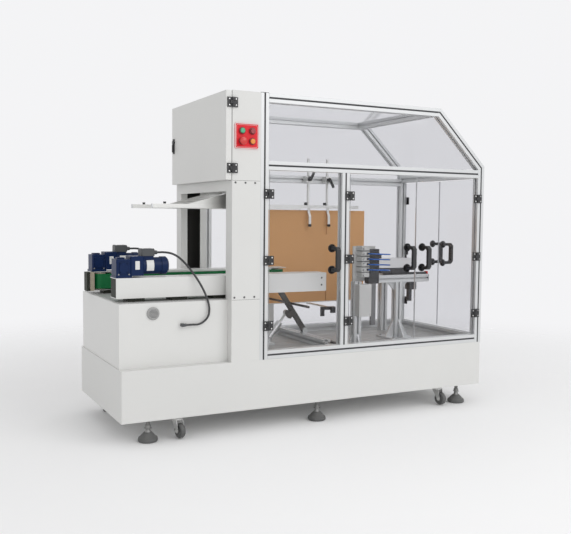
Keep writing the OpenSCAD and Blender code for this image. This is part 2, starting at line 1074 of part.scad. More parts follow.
module foot_stems() {
  nut_h = 12;
  nut_w = stem_d * 1.7;
  plate = 62;
  plate_h = 4;
  head_d = 42;
  pin = 10;
  pin_head = 20;
  washer = 4;
  color("silver")
    place() {
      at_feet() {
        translate([0, 0, foot_h])
          cylinder(d = stem_d, h = floor_gap - foot_h);
        translate([0, 0, foot_h])
          cylinder(d1 = stem_d * 1.6, d2 = stem_d * 1.2, h = nut_h);
        translate([0, 0, floor_gap - nut_h])
          cylinder(d = nut_w, h = nut_h, $fn = 6);
      }
      for (x = castor_xs, y = [foot_y, base_depth - foot_y])
        translate([x, y, 0]) {
          translate([-plate / 2, -plate / 2, floor_gap - plate_h])
            cube([plate, plate, plate_h]);
          translate([0, 0, fork_top + run])
            cylinder(d = head_d, h = floor_gap - fork_top - run);
          translate([0, 0, fork_top - 8 - run])
            cylinder(d = pin, h = pin);
          translate([0, 0, fork_top - 8 - washer - run])
            cylinder(d = pin_head, h = washer);
        }
    }
}

// A castor fork under its swivel at the origin, with the axle on the side of its trail.
module castor_fork() {
  leg_t = 3;
  gap = wheel_w + 6;
  head_t = 8;
  color("lightgray") {
    difference() {
      union() {
        translate([0, 0, fork_top - head_t])
          cylinder(d = 46, h = head_t);
        translate([-20, -gap / 2 - leg_t, fork_top - head_t])
          cube([40, gap + 2 * leg_t, 4]);
      }
      translate([0, 0, fork_top - head_t - eps])
        cylinder(d = 10 + 2 * run, h = head_t + 2 * eps);
    }
    for (s = [-1, 1])
      translate([0, s * (gap + leg_t) / 2 + leg_t / 2, 0])
        rotate([90, 0, 0])
          linear_extrude(leg_t) {
            polygon([
              [-20, fork_top - head_t + 2], [20, fork_top - head_t + 2],
              [trail + 10, wheel_z], [trail - 10, wheel_z]
            ]);
            translate([trail, wheel_z])
              circle(10);
          }
    translate([trail, 0, wheel_z])
      rotate([90, 0, 0])
        cylinder(d = 8, h = gap + 2 * leg_t + 6, center = true);
  }
}

// A castor wheel with a tread and a hub, bored for its axle.
module castor_wheel() {
  r = wheel_d / 2;
  w = wheel_w / 2;
  color("dimgray")
    translate([trail, 0, wheel_z])
      rotate([90, 0, 0])
        rotate_extrude()
          polygon([
            [4 + run, -w - 1.5], [9, -w - 1.5], [9, -w + 3], [r - 9, -w + 3], [r - 8, -w],
            [r - 3, -w], [r, -w + 4], [r, w - 4], [r - 3, w], [r - 8, w], [r - 9, w - 3],
            [9, w - 3], [9, w + 1.5], [4 + run, w + 1.5]
          ]);
}

module at_castor(ix, rear) {
  place()
    translate([castor_xs[ix], rear ? base_depth - foot_y : foot_y, 0])
      rotate(castor_turn)
        children();
}

module castor_fork_front_left() {
  at_castor(0, false)
    castor_fork();
}

module castor_fork_front_right() {
  at_castor(1, false)
    castor_fork();
}

module castor_fork_rear_left() {
  at_castor(0, true)
    castor_fork();
}

module castor_fork_rear_right() {
  at_castor(1, true)
    castor_fork();
}

module castor_wheel_front_left() {
  at_castor(0, false)
    castor_wheel();
}

module castor_wheel_front_right() {
  at_castor(1, false)
    castor_wheel();
}

module castor_wheel_rear_left() {
  at_castor(0, true)
    castor_wheel();
}

module castor_wheel_rear_right() {
  at_castor(1, true)
    castor_wheel();
}

// Side belts

module belt_beams() {
  flange = roller_y + 8 - unit_y;
  bed = 20;
  color("whitesmoke")
    place()
      both_units() {
        block([unit_x0, unit_y, unit_z], [unit_x1, unit_y + sheet_t, unit_top]);
        for (z = [unit_z, unit_top - sheet_t])
          block([unit_x0, unit_y, z], [unit_x1, unit_y + flange, z + sheet_t]);
        block([roller_x0 + roller_d, roller_y - bed, unit_z],
              [roller_x1 - roller_d, roller_y + bed, unit_top]);
      }
}

module belt_brackets() {
  n = 3;
  pitch = 190;
  foot_l = 70;
  foot_x = 60;
  plate_in = 3;
  half = roller_d / 2 + 2;
  inner = belt_face + guard_t / 2;
  color("dimgray")
    place() {
      both_units() {
        for (i = [0:n - 1])
          block([foot_x + i * pitch, unit_y + 12, table_z + deck_t],
                [foot_x + i * pitch + foot_l, roller_y + 8, unit_z]);
        block([unit_x0 + plate_in, unit_y + sheet_t, unit_z + sheet_t],
              [unit_x0 + plate_in + guard_t, roller_y + 8, unit_top - sheet_t]);
      }
      rear_unit() {
        block([-end_reach, roller_y - half, unit_z], [strip_x, inner, unit_z + guard_t]);
        block([-end_reach, roller_y - half, unit_top - guard_t], [strip_x, inner, unit_top]);
        block([-end_reach, roller_y - half, unit_z], [strip_x - guard_t, inner, unit_top]);
        for (z = [unit_z + sheet_t, unit_top - sheet_t - guard_t])
          block([-end_reach, roller_y - half, z], [unit_x0 + plate_in + eps, roller_y, z + guard_t]);
      }
    }
}

module side_belts() {
  r = roller_d / 2 + run;
  color("seagreen")
    place()
      both_units()
        translate([roller_x0, roller_y, belt_z])
          linear_extrude(belt_h)
            difference() {
              stadium(roller_x1 - roller_x0, r + belt_t);
              stadium(roller_x1 - roller_x0, r);
            }
}

module belt_rollers() {
  shaft_d = 12;
  rim = 2;
  strip_w = 20;
  color("tan")
    place() {
      both_units()
        for (x = [roller_x0, roller_x1])
          translate([x, roller_y, 0]) {
            translate([0, 0, belt_z - rim])
              cylinder(d = roller_d, h = belt_h + 2 * rim);
            translate([0, 0, unit_z + sheet_t])
              cylinder(d = shaft_d, h = unit_h - 2 * sheet_t);
          }
      rear_unit()
        block([strip_x, roller_y + 8 + run, unit_z], [strip_x + strip_w, belt_face, unit_top]);
    }
}

// Gearmotors

module gearmotors() {
  foot_t = 8;
  foot_over = 3;
  gear_r = 7;
  lid_t = 4;
  cap_w = 32;
  cap_h = 7;
  flange_t = 8;
  adapter_w = gear_w - 4;
  adapter_z = motor_z - motor_d / 2 - 1;
  cowl_l = 32;
  r = motor_d / 2;
  color("midnightblue")
    place()
      both_units()
        translate([0, motor_y, 0]) {
          block([gear_x - foot_over, -gear_w / 2, unit_top],
                [adapter_x + foot_over, gear_w / 2, unit_top + foot_t]);
          translate([gear_x + gear_l / 2, 0, unit_top + foot_t - eps])
            linear_extrude(gear_h - foot_t + eps)
              rounded_rect(gear_l, gear_w, gear_r);
          block([gear_x + 12, -gear_w / 2 - lid_t, unit_top + foot_t + 10],
                [adapter_x - 12, gear_w / 2 + lid_t, unit_top + gear_h - 12]);
          block([gear_x + 10, -cap_w / 2, unit_top + gear_h - eps],
                [gear_x + 10 + cap_w, cap_w / 2, unit_top + gear_h + cap_h]);
          translate([adapter_x + adapter_l / 2 - eps, 0, adapter_z])
            linear_extrude(pad_top - adapter_z)
              rounded_rect(adapter_l + 2 * eps, adapter_w, gear_r);
          translate([0, 0, motor_z])
            rotate([0, 90, 0])
              rotate_extrude()
                polygon([
                  [0, motor_x - eps], [r, motor_x - eps], [r, motor_x + flange_t],
                  [r - 3, motor_x + flange_t], [r - 3, motor_x + motor_l - cowl_l],
                  [r, motor_x + motor_l - cowl_l], [r, motor_x + motor_l - flange_t],
                  [r - flange_t, motor_x + motor_l], [0, motor_x + motor_l]
                ]);
          block([term_x + 4, -24, motor_z], [term_x + term_l - 4, 24, pad_top]);
        }
}

module cable_fittings() {
  elbow = 13;
  tail_l = 8;
  tail_d = 13;
  cap_r = 27;
  cap_x = 149;
  cap_z = 544;
  front_end = front_route[len(front_route) - 1];
  rear_end = rear_route[len(rear_route) - 1];
  color("dimgray")
    place() {
      for (route = [front_route, rear_route])
        translate([0, route[0][1], 0]) {
          translate([term_x + term_l / 2, 0, pad_top])
            linear_extrude(term_h)
              rounded_rect(term_l, term_w, 6);
          translate([term_x + term_l - eps, 0, route[0][2]])
            rotate([0, 90, 0])
              cylinder(d = gland_d, h = route[0][0] - term_x - term_l + eps);
        }
      block([front_end[0] - tail_l - elbow, front_end[1] - elbow / 2, front_end[2] - elbow / 2],
            [front_end[0] - tail_l, cabinet_front, front_end[2] + elbow / 2]);
      translate([front_end[0] - tail_l - eps, front_end[1], front_end[2]])
        rotate([0, 90, 0])
          cylinder(d = tail_d, h = tail_l + eps);
      translate([rear_end[0], rear_end[1], unit_top])
        cylinder(d1 = gland_d + 8, d2 = gland_d, h = rear_end[2] - unit_top);
      translate([cap_x, cabinet_front, cap_z])
        rotate([90, 0, 0])
          rotate_extrude()
            polygon([[0, 0], [cap_r, 0], [cap_r, 3], [cap_r - 3, 6], [0, 7]]);
    }
}

module front_motor_cable() {
  color("black")
    place()
      tube(front_route, cable_d, [0, 1, 0]);
}

module rear_motor_cable() {
  color("black")
    place()
      tube(rear_route, cable_d, [0, 1, 0]);
}

// Carton guides and magazine

module top_guides() {
  web_t = 6;
  web_x0 = 338;
  beam_z = box_z - portal_beam_h;
  color("silver")
    place()
      for (y = [guide_front, guide_rear]) {
        block([guide_x0, y - guide_w / 2, guide_z], [guide_x1, y + guide_w / 2, guide_z + guide_h]);
        translate([0, y + web_t / 2, 0])
          rotate([90, 0, 0])
            linear_extrude(web_t)
              polygon([
                [web_x0, guide_z + guide_h - eps], [portal_x1, guide_z + guide_h - eps],
                [portal_x1, beam_z], [portal_x1 - 70, beam_z]
              ]);
        block([portal_x1 - 70, y - 20, beam_z - web_t], [portal_x1, y + 20, beam_z]);
      }
}

// Places of the two hold-down rods along the back middle rail, and the bar that they hold
rod_xs = [1213, 1332];
hold_z = ledge_z + blank_h + 11;
hold_h = 16;
// Face of the clamps that the levers turn on
clamp_y = lift_y - rod_d / 2 - 9;
// Front of the spring hooks, and the height of their tips
hook_y = blank_face - 26;
hook_tip_z = hold_z - 86;
// Tie rod from the ledge to the bracket in front of it
tie_x = 1222;
tie_y = 400;
tie_d = 10;
tie_z = ledge_z - 9;
module blank_magazine() {
  hold_x0 = 972;
  hold_x1 = 1524;
  rod_over = 112;
  rod_top = back_rail_level + rod_over;
  clamp_w = 34;
  angle_t = 4;
  angle_h = 50;
  upright_w = 30;
  upright_t = 16;
  upright_in = [70, 124];
  ledge_in = 12;
  hook_w = 14;
  hook_t = 4;
  kink = 12;
  back_y = blank_face + blank_t + 1;
  color("gainsboro")
    place() {
      block([hold_x0, lift_y - 24, hold_z], [hold_x1, lift_y + 12, hold_z + hold_h]);
      for (x = rod_xs) {
        translate([x, lift_y, hold_z])
          cylinder(d = rod_d, h = rod_top - hold_z);
        block([x - clamp_w / 2, clamp_y, back_rail_level - clamp_w / 2],
              [x + clamp_w / 2, rail_b - bar / 2, back_rail_level + clamp_w / 2]);
        translate([x - hook_w / 2, 0, 0])
          rotate([90, 0, 90])
            linear_extrude(hook_w)
              polygon([
                [hook_y + kink, hold_z + eps], [hook_y + kink, hold_z - 22],
                [hook_y, hold_z - 44], [hook_y, hook_tip_z],
                [hook_y + hook_t, hook_tip_z], [hook_y + hook_t, hold_z - 43],
                [hook_y + kink + hook_t, hold_z - 21], [hook_y + kink + hook_t, hold_z + eps]
              ]);
      }
      block([blank_x0 + ledge_in, blank_face - 4, ledge_z - angle_t],
            [blank_x1 - ledge_in, back_y + angle_t, ledge_z]);
      block([blank_x0 + ledge_in, back_y, ledge_z - angle_t],
            [blank_x1 - ledge_in, back_y + angle_t, ledge_z + angle_h]);
      for (x = [blank_x0 + upright_in[0], blank_x1 - upright_in[1]])
        block([x, back_y, floor_z], [x + upright_w, back_y + upright_t, ledge_z + angle_h]);
      translate([tie_x, back_y + angle_t, tie_z])
        rotate([90, 0, 0])
          cylinder(d = tie_d, h = back_y + angle_t - tie_y);
      block([tie_x - 6, back_y - 14, tie_z - tie_d / 2],
            [tie_x + 6, back_y + angle_t, ledge_z - angle_t + eps]);
    }
}

module clamp_levers() {
  lever_l = 48;
  lever_turns = [25, 152];
  hub_d = 20;
  hub_l = 14;
  tip_d = 15;
  wing = 12;
  wing_h = 15;
  knob_x = 236;
  knob_d = 11;
  knob_h = 9;
  color("dimgray")
    place() {
      for (i = [0, 1]) {
        translate([rod_xs[i], clamp_y, back_rail_level])
          rotate([90, 0, 0])
            cylinder(d = hub_d, h = hub_l);
        translate([rod_xs[i], clamp_y - hub_l, back_rail_level])
          rotate([0, lever_turns[i], 0])
            block([-6, -8, -6], [6, eps, lever_l]);
        translate([rod_xs[i], hook_y + 9, hook_tip_z - tip_d / 2])
          rotate([90, 0, 0])
            cylinder(d = tip_d, h = 14);
        block([rod_xs[i] - 2 * wing, lift_y - wing, hold_z + hold_h],
              [rod_xs[i] - wing, lift_y, hold_z + hold_h + wing_h]);
      }
      for (y = [guide_front, guide_rear])
        translate([knob_x, y, guide_z + guide_h])
          cylinder(d1 = knob_d, d2 = knob_d + 3, h = knob_h);
    }
}

module case_blank() {
  flap_x = 1332;
  flap_h = 132;
  cut_w = 4;
  score_w = 4;
  score_d = 1;
  top = ledge_z + blank_h;
  color("peru")
    place()
      difference() {
        block([blank_x0, blank_face, ledge_z], [blank_x1, blank_face + blank_t, top]);
        for (z = [ledge_z - eps, top - flap_h])
          block([flap_x - cut_w / 2, blank_face - eps, z],
                [flap_x + cut_w / 2, blank_face + blank_t + eps, z + flap_h + eps]);
        for (z = [ledge_z + flap_h, top - flap_h])
          block([blank_x0 - eps, blank_face - eps, z - score_w / 2],
                [blank_x1 + eps, blank_face + score_d, z + score_w / 2]);
      }
}

// Pusher station

// A square foot with four gussets, under a post.
module gusset_foot(h, reach) {
  foot_t = 8;
  rib_t = 6;
  translate([-reach / 2 - 20, -reach / 2 - 20, 0])
    cube([reach + 40, reach + 40, foot_t]);
  for (a = [0:90:270])
    rotate(a)
      translate([0, rib_t / 2, 0])
        rotate([90, 0, 0])
          linear_extrude(rib_t)
            polygon([[bar / 2 - eps, 0], [bar / 2 + reach / 2, 0], [bar / 2 - eps, h]]);
}

module station_frame() {
  rear_x = 1650;
  rear_y = 550;
  rail_y0 = 150;
  rail_back = 76;
  heel_w = 44;
  brace = 44;
  brace_t = 8;
  color("silver")
    place() {
      bar_z(post_x, post_y, floor_z, arm_z + eps);
      translate([post_x, post_y, floor_z])
        gusset_foot(100, 110);
      bar_x(arm_x0, arm_x1, arm_y, arm_z + bar / 2);
      translate([post_x, post_y + brace_t / 2, arm_z])
        rotate([90, 0, 0])
          linear_extrude(brace_t)
            polygon([[-brace - bar / 2, eps], [brace + bar / 2, eps], [bar / 2 - eps, -brace],
                     [eps - bar / 2, -brace]]);
      bar_z(rear_x, rear_y, floor_z, arm_z + eps);
      bar_y(rear_x, arm_y + bar / 2 - eps, rear_y + bar / 2, arm_z + bar / 2);
      bar_z(valve_x, valve_y, floor_z, valve_z);
      translate([valve_x, valve_y, floor_z])
        gusset_foot(60, 50);
      bar_y(folder_x, rail_y0, base_depth - rail_back, floor_z + bar / 2);
      block([heel_x - heel_w / 2, folder_y - heel_w, floor_z],
            [heel_x + heel_w / 2, folder_y + heel_w, floor_z + lug_t]);
      lug_pair(folder_x, folder_z, floor_z + bar, 13);
      lug_pair(heel_x, heel_z, floor_z + lug_t, 11);
    }
}

// Two lugs with a pin across them, standing on a given height.
module lug_pair(x, z, foot, r) {
  for (s = [-1, 1])
    translate([0, folder_y + s * (lug_gap + lug_t) / 2 + lug_t / 2, 0])
      rotate([90, 0, 0])
        linear_extrude(lug_t) {
          translate([x - r, foot - eps])
            square([2 * r, z - foot + eps]);
          translate([x, z])
            circle(r);
        }
  translate([x, folder_y, z])
    rotate([90, 0, 0])
      cylinder(d = pivot_pin, h = lug_gap + 2 * lug_t, center = true);
}

// Dark fittings of the station: slide rail, cylinder seat, clevis, manifold, tie bracket and deck strip.
module station_fittings() {
  rail_w = 18;
  rail_in = [70, 4];
  seat_x = 24;
  seat_l = 180;
  clevis_x = 1622;
  clevis_w = 44;
  clevis_h = 40;
  tail_w = 20;
  tail_h = 62;
  strip_x = 1145;
  strip_w = 20;
  strip_front = 213;
  strip_back = 138;
  strip_h = 8;
  plate = [-62, 14];
  plate_t = 14;
  hook_h = 40;
  color("dimgray")
    place() {
      block([arm_x0 + rail_in[0], arm_y - rail_w / 2, arm_z + bar],
            [arm_x1 - rail_in[1], arm_y + rail_w / 2, rail_top]);
      block([cyl_x + seat_x, arm_y - cyl_w / 2 + 6, rail_top],
            [cyl_x + seat_x + seat_l, arm_y + cyl_w / 2 - 6, cyl_z]);
      block([clevis_x, arm_y - bar / 2, arm_z - clevis_h], [clevis_x + clevis_w, arm_y + bar / 2, arm_z]);
      block([clevis_x + 2, arm_y - bar / 4, arm_z - clevis_h - tail_h],
            [clevis_x + 2 + tail_w, arm_y + bar / 4, arm_z - clevis_h + eps]);
      block([valve_x + manifold_x0, valve_y - manifold_d / 2, valve_z - 12],
            [valve_x + manifold_x1, valve_y + back_y0, valve_z + manifold_h]);
      block([strip_x, strip_front, floor_z],
            [strip_x + strip_w, base_depth - strip_back, floor_z + strip_h]);
      block([tie_x + plate[0], tie_y - plate_t, tie_z - 8], [tie_x + plate[1], tie_y, tie_z + 8]);
      block([tie_x + plate[0], tie_y - plate_t, tie_z - hook_h], [tie_x + plate[0] + 18, tie_y, tie_z]);
      block([tie_x - 10, tie_y - 2 * plate_t, tie_z - 24],
            [tie_x + plate[1], tie_y - plate_t + eps, tie_z + 8]);
    }
}

module pusher_cylinder() {
  rod_z = cyl_z + cyl_h / 2;
  cap_l = 24;
  groove = 4;
  color("lightgray")
    place()
      difference() {
        block([cyl_x, arm_y - cyl_w / 2, cyl_z], [cyl_x + cyl_l, arm_y + cyl_w / 2, cyl_z + cyl_h]);
        for (s = [-1, 1]) {
          translate([cyl_x - eps, arm_y + s * rod_gap, rod_z])
            rotate([0, 90, 0])
              cylinder(d = guide_rod_d + 2 * run, h = cyl_l + 2 * eps);
          for (z = [cyl_z + cyl_h / 4, cyl_z + 3 * cyl_h / 4])
            translate([cyl_x + cap_l, arm_y + s * cyl_w / 2, z])
              translate([0, -groove / 2, -groove / 2])
                cube([cyl_l - 2 * cap_l, groove, groove]);
        }
      }
}

module pusher_carriage() {
  rod_z = cyl_z + cyl_h / 2;
  jaw_t = 24;
  jaw_w = 60;
  spare = 32;
  paddle_w = 28;
  paddle_t = 10;
  paddle_z = 402;
  color("gray")
    place() {
      block([jaw_x - jaw_t, arm_y - jaw_w / 2, arm_z + 2], [jaw_x, arm_y + jaw_w / 2, cyl_z + cyl_h]);
      for (s = [-1, 1])
        translate([jaw_x - eps, arm_y + s * rod_gap, rod_z])
          rotate([0, 90, 0])
            cylinder(d = guide_rod_d, h = cyl_x - jaw_x + push_stroke + spare);
      block([jaw_x - paddle_w, arm_y - jaw_w / 2 - paddle_t, paddle_z],
            [jaw_x, arm_y - jaw_w / 2 + eps, arm_z + bar]);
    }
}

// Stack of valves on the back plate of the valve stand, with the dark manifold beside it
slice_n = 6;
slice_pitch = 26;
slice_h = 22;
slice_x0 = 7;
slice_x1 = 51;
slice_y = -36;
back_y0 = 12;
manifold_x0 = 57;
manifold_x1 = 117;
manifold_d = 48;
manifold_h = 158;
function slice_z(i) = slice_h + i * slice_pitch;

module valve_block() {
  plate_x0 = -12;
  plate_t = 8;
  plate_h = 172;
  box_left = 19;
  box_right = 50;
  box_drop = 168;
  box_below = 11;
  box_out = 60;
  coil_d = 12;
  coil_l = 12;
  color("slategray")
    place()
      translate([valve_x, valve_y, valve_z]) {
        block([plate_x0, back_y0, 0], [manifold_x1, back_y0 + plate_t, plate_h]);
        for (i = [0:slice_n - 1]) {
          block([slice_x0, slice_y, slice_z(i)], [slice_x1, back_y0 + eps, slice_z(i) + slice_h]);
          translate([slice_x0 + coil_d, slice_y + eps, slice_z(i) + slice_h / 2])
            rotate([90, 0, 0])
              cylinder(d = coil_d, h = coil_l + eps);
        }
        block([-box_left, -box_out, -box_drop], [box_right, -bar / 2, -box_below]);
      }
}

module air_hoses() {
  hose_d = 6;
  x = slice_x1 - 10;
  end_y = -6;
  drop = 6;
  color("royalblue")
    place()
      translate([valve_x, valve_y, valve_z])
        for (i = [1:slice_n - 2])
          translate([0, 0, slice_z(i) + slice_h / 2])
            tube([
              [x, slice_y, 0], [x, slice_y - 9, 0], [x, slice_y - 18, 0],
              [x + 16, slice_y - 38, 0], [x + 50, slice_y - 48, -1], [x + 92, slice_y - 42, -3],
              [x + 118, slice_y - 18, -5], [x + 120, slice_y + 10, -drop],
              [x + 108, end_y - 3, -drop], [manifold_x1 + 16, end_y, -drop],
              [manifold_x1 + 8, end_y, -drop], [manifold_x1, end_y, -drop]
            ], hose_d, [0, 0, 1]);
}

// Flap folder

module folder_arm() {
  arm_t = 14;
  cheek_t = 6;
  cheek_r = 12;
  kick_d = 12;
  kick_z = 156;
  kick_l = 430;
  kick_y = 35;
  color("dimgray")
    place()
      translate([folder_x, folder_y, folder_z])
        difference() {
          union() {
            rotate([0, -folder_lean, 0]) {
              rotate([90, 0, 0])
                cylinder(d = folder_w - 8, h = arm_t, center = true);
              block([4 - folder_w / 2, -arm_t / 2, 0], [folder_w / 2 - 4, arm_t / 2, folder_l]);
              translate([folder_w / 2, kick_y, kick_z])
                rotate([90, 0, 0])
                  cylinder(d = kick_d, h = kick_l, center = true);
            }
            for (s = [-1, 1])
              translate([0, s * ((arm_t + cheek_t) / 2 - eps) + cheek_t / 2, 0])
                rotate([90, 0, 0])
                  linear_extrude(cheek_t)
                    rotate(joint_turn) {
                      translate([-cheek_r, joint_r - 36])
                        square([2 * cheek_r, 36]);
                      translate([0, joint_r])
                        circle(cheek_r);
                      translate([-cheek_r, joint_r - 36])
                        square([44, 30]);
                    }
            rotate([0, -joint_turn, 0])
              translate([0, 0, joint_r])
                rotate([90, 0, 0])
                  cylinder(d = joint_pin, h = arm_t + 2 * cheek_t + 2 * eps, center = true);
          }
          rotate([90, 0, 0])
            cylinder(d = pivot_pin + 2 * run, h = arm_t + 2 * eps, center = true);
        }
}

module folder_cylinder() {
  eye_t = 12;
  body_z = 14;
  body_l = 94;
  color("lightgray")
    place()
      translate([heel_x, folder_y, heel_z])
        rotate([0, cyl_turn, 0])
          difference() {
            union() {
              rotate([90, 0, 0])
                cylinder(d = 18, h = eye_t, center = true);
              block([-8, -eye_t / 2, 0], [8, eye_t / 2, body_z + eps]);
              translate([0, 0, body_z])
                cylinder(d = folder_cyl_d, h = body_l);
            }
            rotate([90, 0, 0])
              cylinder(d = pivot_pin + 2 * run, h = eye_t + 2 * eps, center = true);
            translate([0, 0, body_z + 8])
              cylinder(d = folder_rod_d + 2 * run, h = body_l);
          }
}

module folder_rod() {
  start = 30;
  eye_t = 10;
  eye_d = joint_pin + 2 * joint_play + 12;
  color("silver")
    place()
      translate([heel_x, folder_y, heel_z])
        rotate([0, cyl_turn, 0])
          difference() {
            union() {
              translate([0, 0, start])
                cylinder(d = folder_rod_d, h = cyl_len - start - eye_d / 2 + 2);
              translate([0, 0, cyl_len])
                rotate([90, 0, 0])
                  cylinder(d = eye_d, h = eye_t, center = true);
            }
            translate([0, 0, cyl_len])
              rotate([90, 0, 0])
                cylinder(d = joint_pin + 2 * joint_play, h = folder_rod_d + 2 * eps, center = true);
          }
}

base_plinth();
outfeed_cabinet();
deck_plates();
portal_frame();
electrical_cabinet();
electrical_door();
electrical_door_fittings();
control_plate();
button_bezels();
start_button();
stop_button();
emergency_stop();
reset_button();
enclosure_posts();
long_rails();
cross_rails();
clear_panels();
front_door_left();
front_door_middle();
front_door_right();
end_door_front();
end_door_rear();
front_door_left_fittings();
front_door_middle_fittings();
front_door_right_fittings();
end_door_front_fittings();
end_door_rear_fittings();
hinge_leaves();
foot_pads();
foot_stems();
castor_fork_front_left();
castor_fork_front_right();
castor_fork_rear_left();
castor_fork_rear_right();
castor_wheel_front_left();
castor_wheel_front_right();
castor_wheel_rear_left();
castor_wheel_rear_right();
belt_beams();
belt_brackets();
side_belts();
belt_rollers();
gearmotors();
cable_fittings();
front_motor_cable();
rear_motor_cable();
top_guides();
blank_magazine();
clamp_levers();
case_blank();
station_frame();
station_fittings();
pusher_cylinder();
pusher_carriage();
valve_block();
air_hoses();
folder_arm();
folder_cylinder();
folder_rod();
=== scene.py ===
"""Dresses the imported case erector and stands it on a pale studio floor.

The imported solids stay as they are. This script gives every node its finish, adds the
fasteners, slot strips, labels and cables, and places the camera and the lamps. Sizes
and places are in millimetres of the machine drawing where nothing else is said.
"""

import json
import logging
import math
from dataclasses import dataclass
from enum import Enum
from functools import cache
from typing import Iterable, Optional, Sequence

import bmesh
import bpy
from mathutils import Matrix, Vector


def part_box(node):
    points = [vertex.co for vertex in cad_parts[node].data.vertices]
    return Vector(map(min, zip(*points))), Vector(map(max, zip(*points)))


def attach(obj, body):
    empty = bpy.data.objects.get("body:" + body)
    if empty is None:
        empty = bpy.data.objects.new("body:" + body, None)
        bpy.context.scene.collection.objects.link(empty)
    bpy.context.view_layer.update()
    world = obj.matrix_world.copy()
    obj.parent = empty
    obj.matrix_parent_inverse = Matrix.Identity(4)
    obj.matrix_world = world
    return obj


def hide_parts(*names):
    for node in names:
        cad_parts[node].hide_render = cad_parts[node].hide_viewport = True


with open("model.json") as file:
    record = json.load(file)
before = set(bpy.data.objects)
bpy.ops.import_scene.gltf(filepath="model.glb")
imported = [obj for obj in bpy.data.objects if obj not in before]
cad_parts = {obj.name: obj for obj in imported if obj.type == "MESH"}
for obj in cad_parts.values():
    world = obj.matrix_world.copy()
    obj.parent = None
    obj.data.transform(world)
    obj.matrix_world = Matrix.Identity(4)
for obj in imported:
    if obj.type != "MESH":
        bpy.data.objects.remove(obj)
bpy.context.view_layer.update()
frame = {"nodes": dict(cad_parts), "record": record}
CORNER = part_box("base_plinth")[0]
LOG = logging.getLogger("case_erector")
MM = 0.001
MACHINE = "machine"

Colour = tuple[float, float, float]
Point = tuple[float, float, float]
Flat = tuple[float, float]
# Width, height and corner radius of an outline.
Rounded = tuple[float, float, float]
# Radius, height and number of flats of a turned body's ring.
Ring = tuple[float, float, int]
Tree = bpy.types.NodeTree
ShaderNode = bpy.types.Node
Socket = bpy.types.NodeSocket
Vert = bmesh.types.BMVert


def at(x: float, y: float, z: float) -> Vector:
    """Turns a place in the machine drawing into a point of the row frame.

    Args:
        x: Distance from the base's left end.
        y: Distance from the base's front.
        z: Height above the floor.

    Returns:
        The point in metres.
    """
    return Vector((CORNER.x + x * MM, CORNER.y + y * MM, z * MM))


def frame_along(place: Vector, out: Vector) -> Matrix:
    """Gives a frame at a place whose Z axis runs along a direction."""
    turn = Vector((0.0, 0.0, 1.0)).rotation_difference(out)
    return Matrix.Translation(place) @ turn.to_matrix().to_4x4()


class Facing(Enum):
    """Outward direction of a face that carries a detail."""

    FRONT = (0.0, -1.0, 0.0)
    BACK = (0.0, 1.0, 0.0)
    LEFT = (-1.0, 0.0, 0.0)
    RIGHT = (1.0, 0.0, 0.0)
    UP = (0.0, 0.0, 1.0)
    DOWN = (0.0, 0.0, -1.0)

    @property
    def out(self) -> Vector:
        """Gives the direction as a vector."""
        return Vector(self.value)

    def at(self, place: Vector) -> Matrix:
        """Gives a frame at a place whose Z axis points out of the face."""
        return frame_along(place, self.out)


class Graph:
    """Short hand for building a shader node tree."""

    # Sockets of the colour Mix node, whose names aren't unique.
    mix_share, mix_low, mix_high, mix_result = 0, 6, 7, 2

    def __init__(self, tree: Tree) -> None:
        """Starts on an empty tree."""
        self.tree = tree
        tree.nodes.clear()

    def feed(self, node: ShaderNode, inputs: dict) -> None:
        """Sets or links inputs of a node.

        Args:
            node: The node to feed.
            inputs: Values or output sockets by the name or number of the input.
        """
        for key, value in inputs.items():
            if isinstance(value, Socket):
                self.tree.links.new(value, node.inputs[key])
            else:
                node.inputs[key].default_value = value

    def node(self, kind: str, inputs: Optional[dict] = None, **settings: object) -> ShaderNode:
        """Adds a node and sets or links its inputs.

        Args:
            kind: Blender's name of the node type.
            inputs: Values or output sockets by the name or number of the input.
            **settings: Properties of the node.

        Returns:
            The new node.
        """
        made = self.tree.nodes.new(kind)
        for key, value in settings.items():
            setattr(made, key, value)
        self.feed(made, inputs or {})
        return made

    def math(self, operation: str, *values: object, clamp: bool = False) -> Socket:
        """Adds a Math node and gives its result."""
        inputs = dict(enumerate(values))
        return self.node("ShaderNodeMath", inputs, operation=operation, use_clamp=clamp).outputs[0]

    def mix(self, share: object, low: object, high: object) -> Socket:
        """Adds a colour Mix node and gives its result."""
        inputs = {self.mix_share: share, self.mix_low: low, self.mix_high: high}
        return self.node("ShaderNodeMix", inputs, data_type="RGBA").outputs[self.mix_result]

    def group(self, tree: Tree, **inputs: object) -> ShaderNode:
        """Places a node group with its own input values."""
        return self.node("ShaderNodeGroup", inputs, node_tree=tree)

    def spot(self) -> Socket:
        """Gives the place on a piece, in the piece's own frame."""
        return self.node("ShaderNodeTexCoord").outputs["Object"]

    def noise(self, spot: Socket, scale: object, detail: float, roughness: float = 0.5) -> Socket:
        """Adds a noise texture and gives its value."""
        inputs = {"Vector": spot, "Scale": scale, "Detail": detail, "Roughness": roughness}
        return self.node("ShaderNodeTexNoise", inputs).outputs["Fac"]


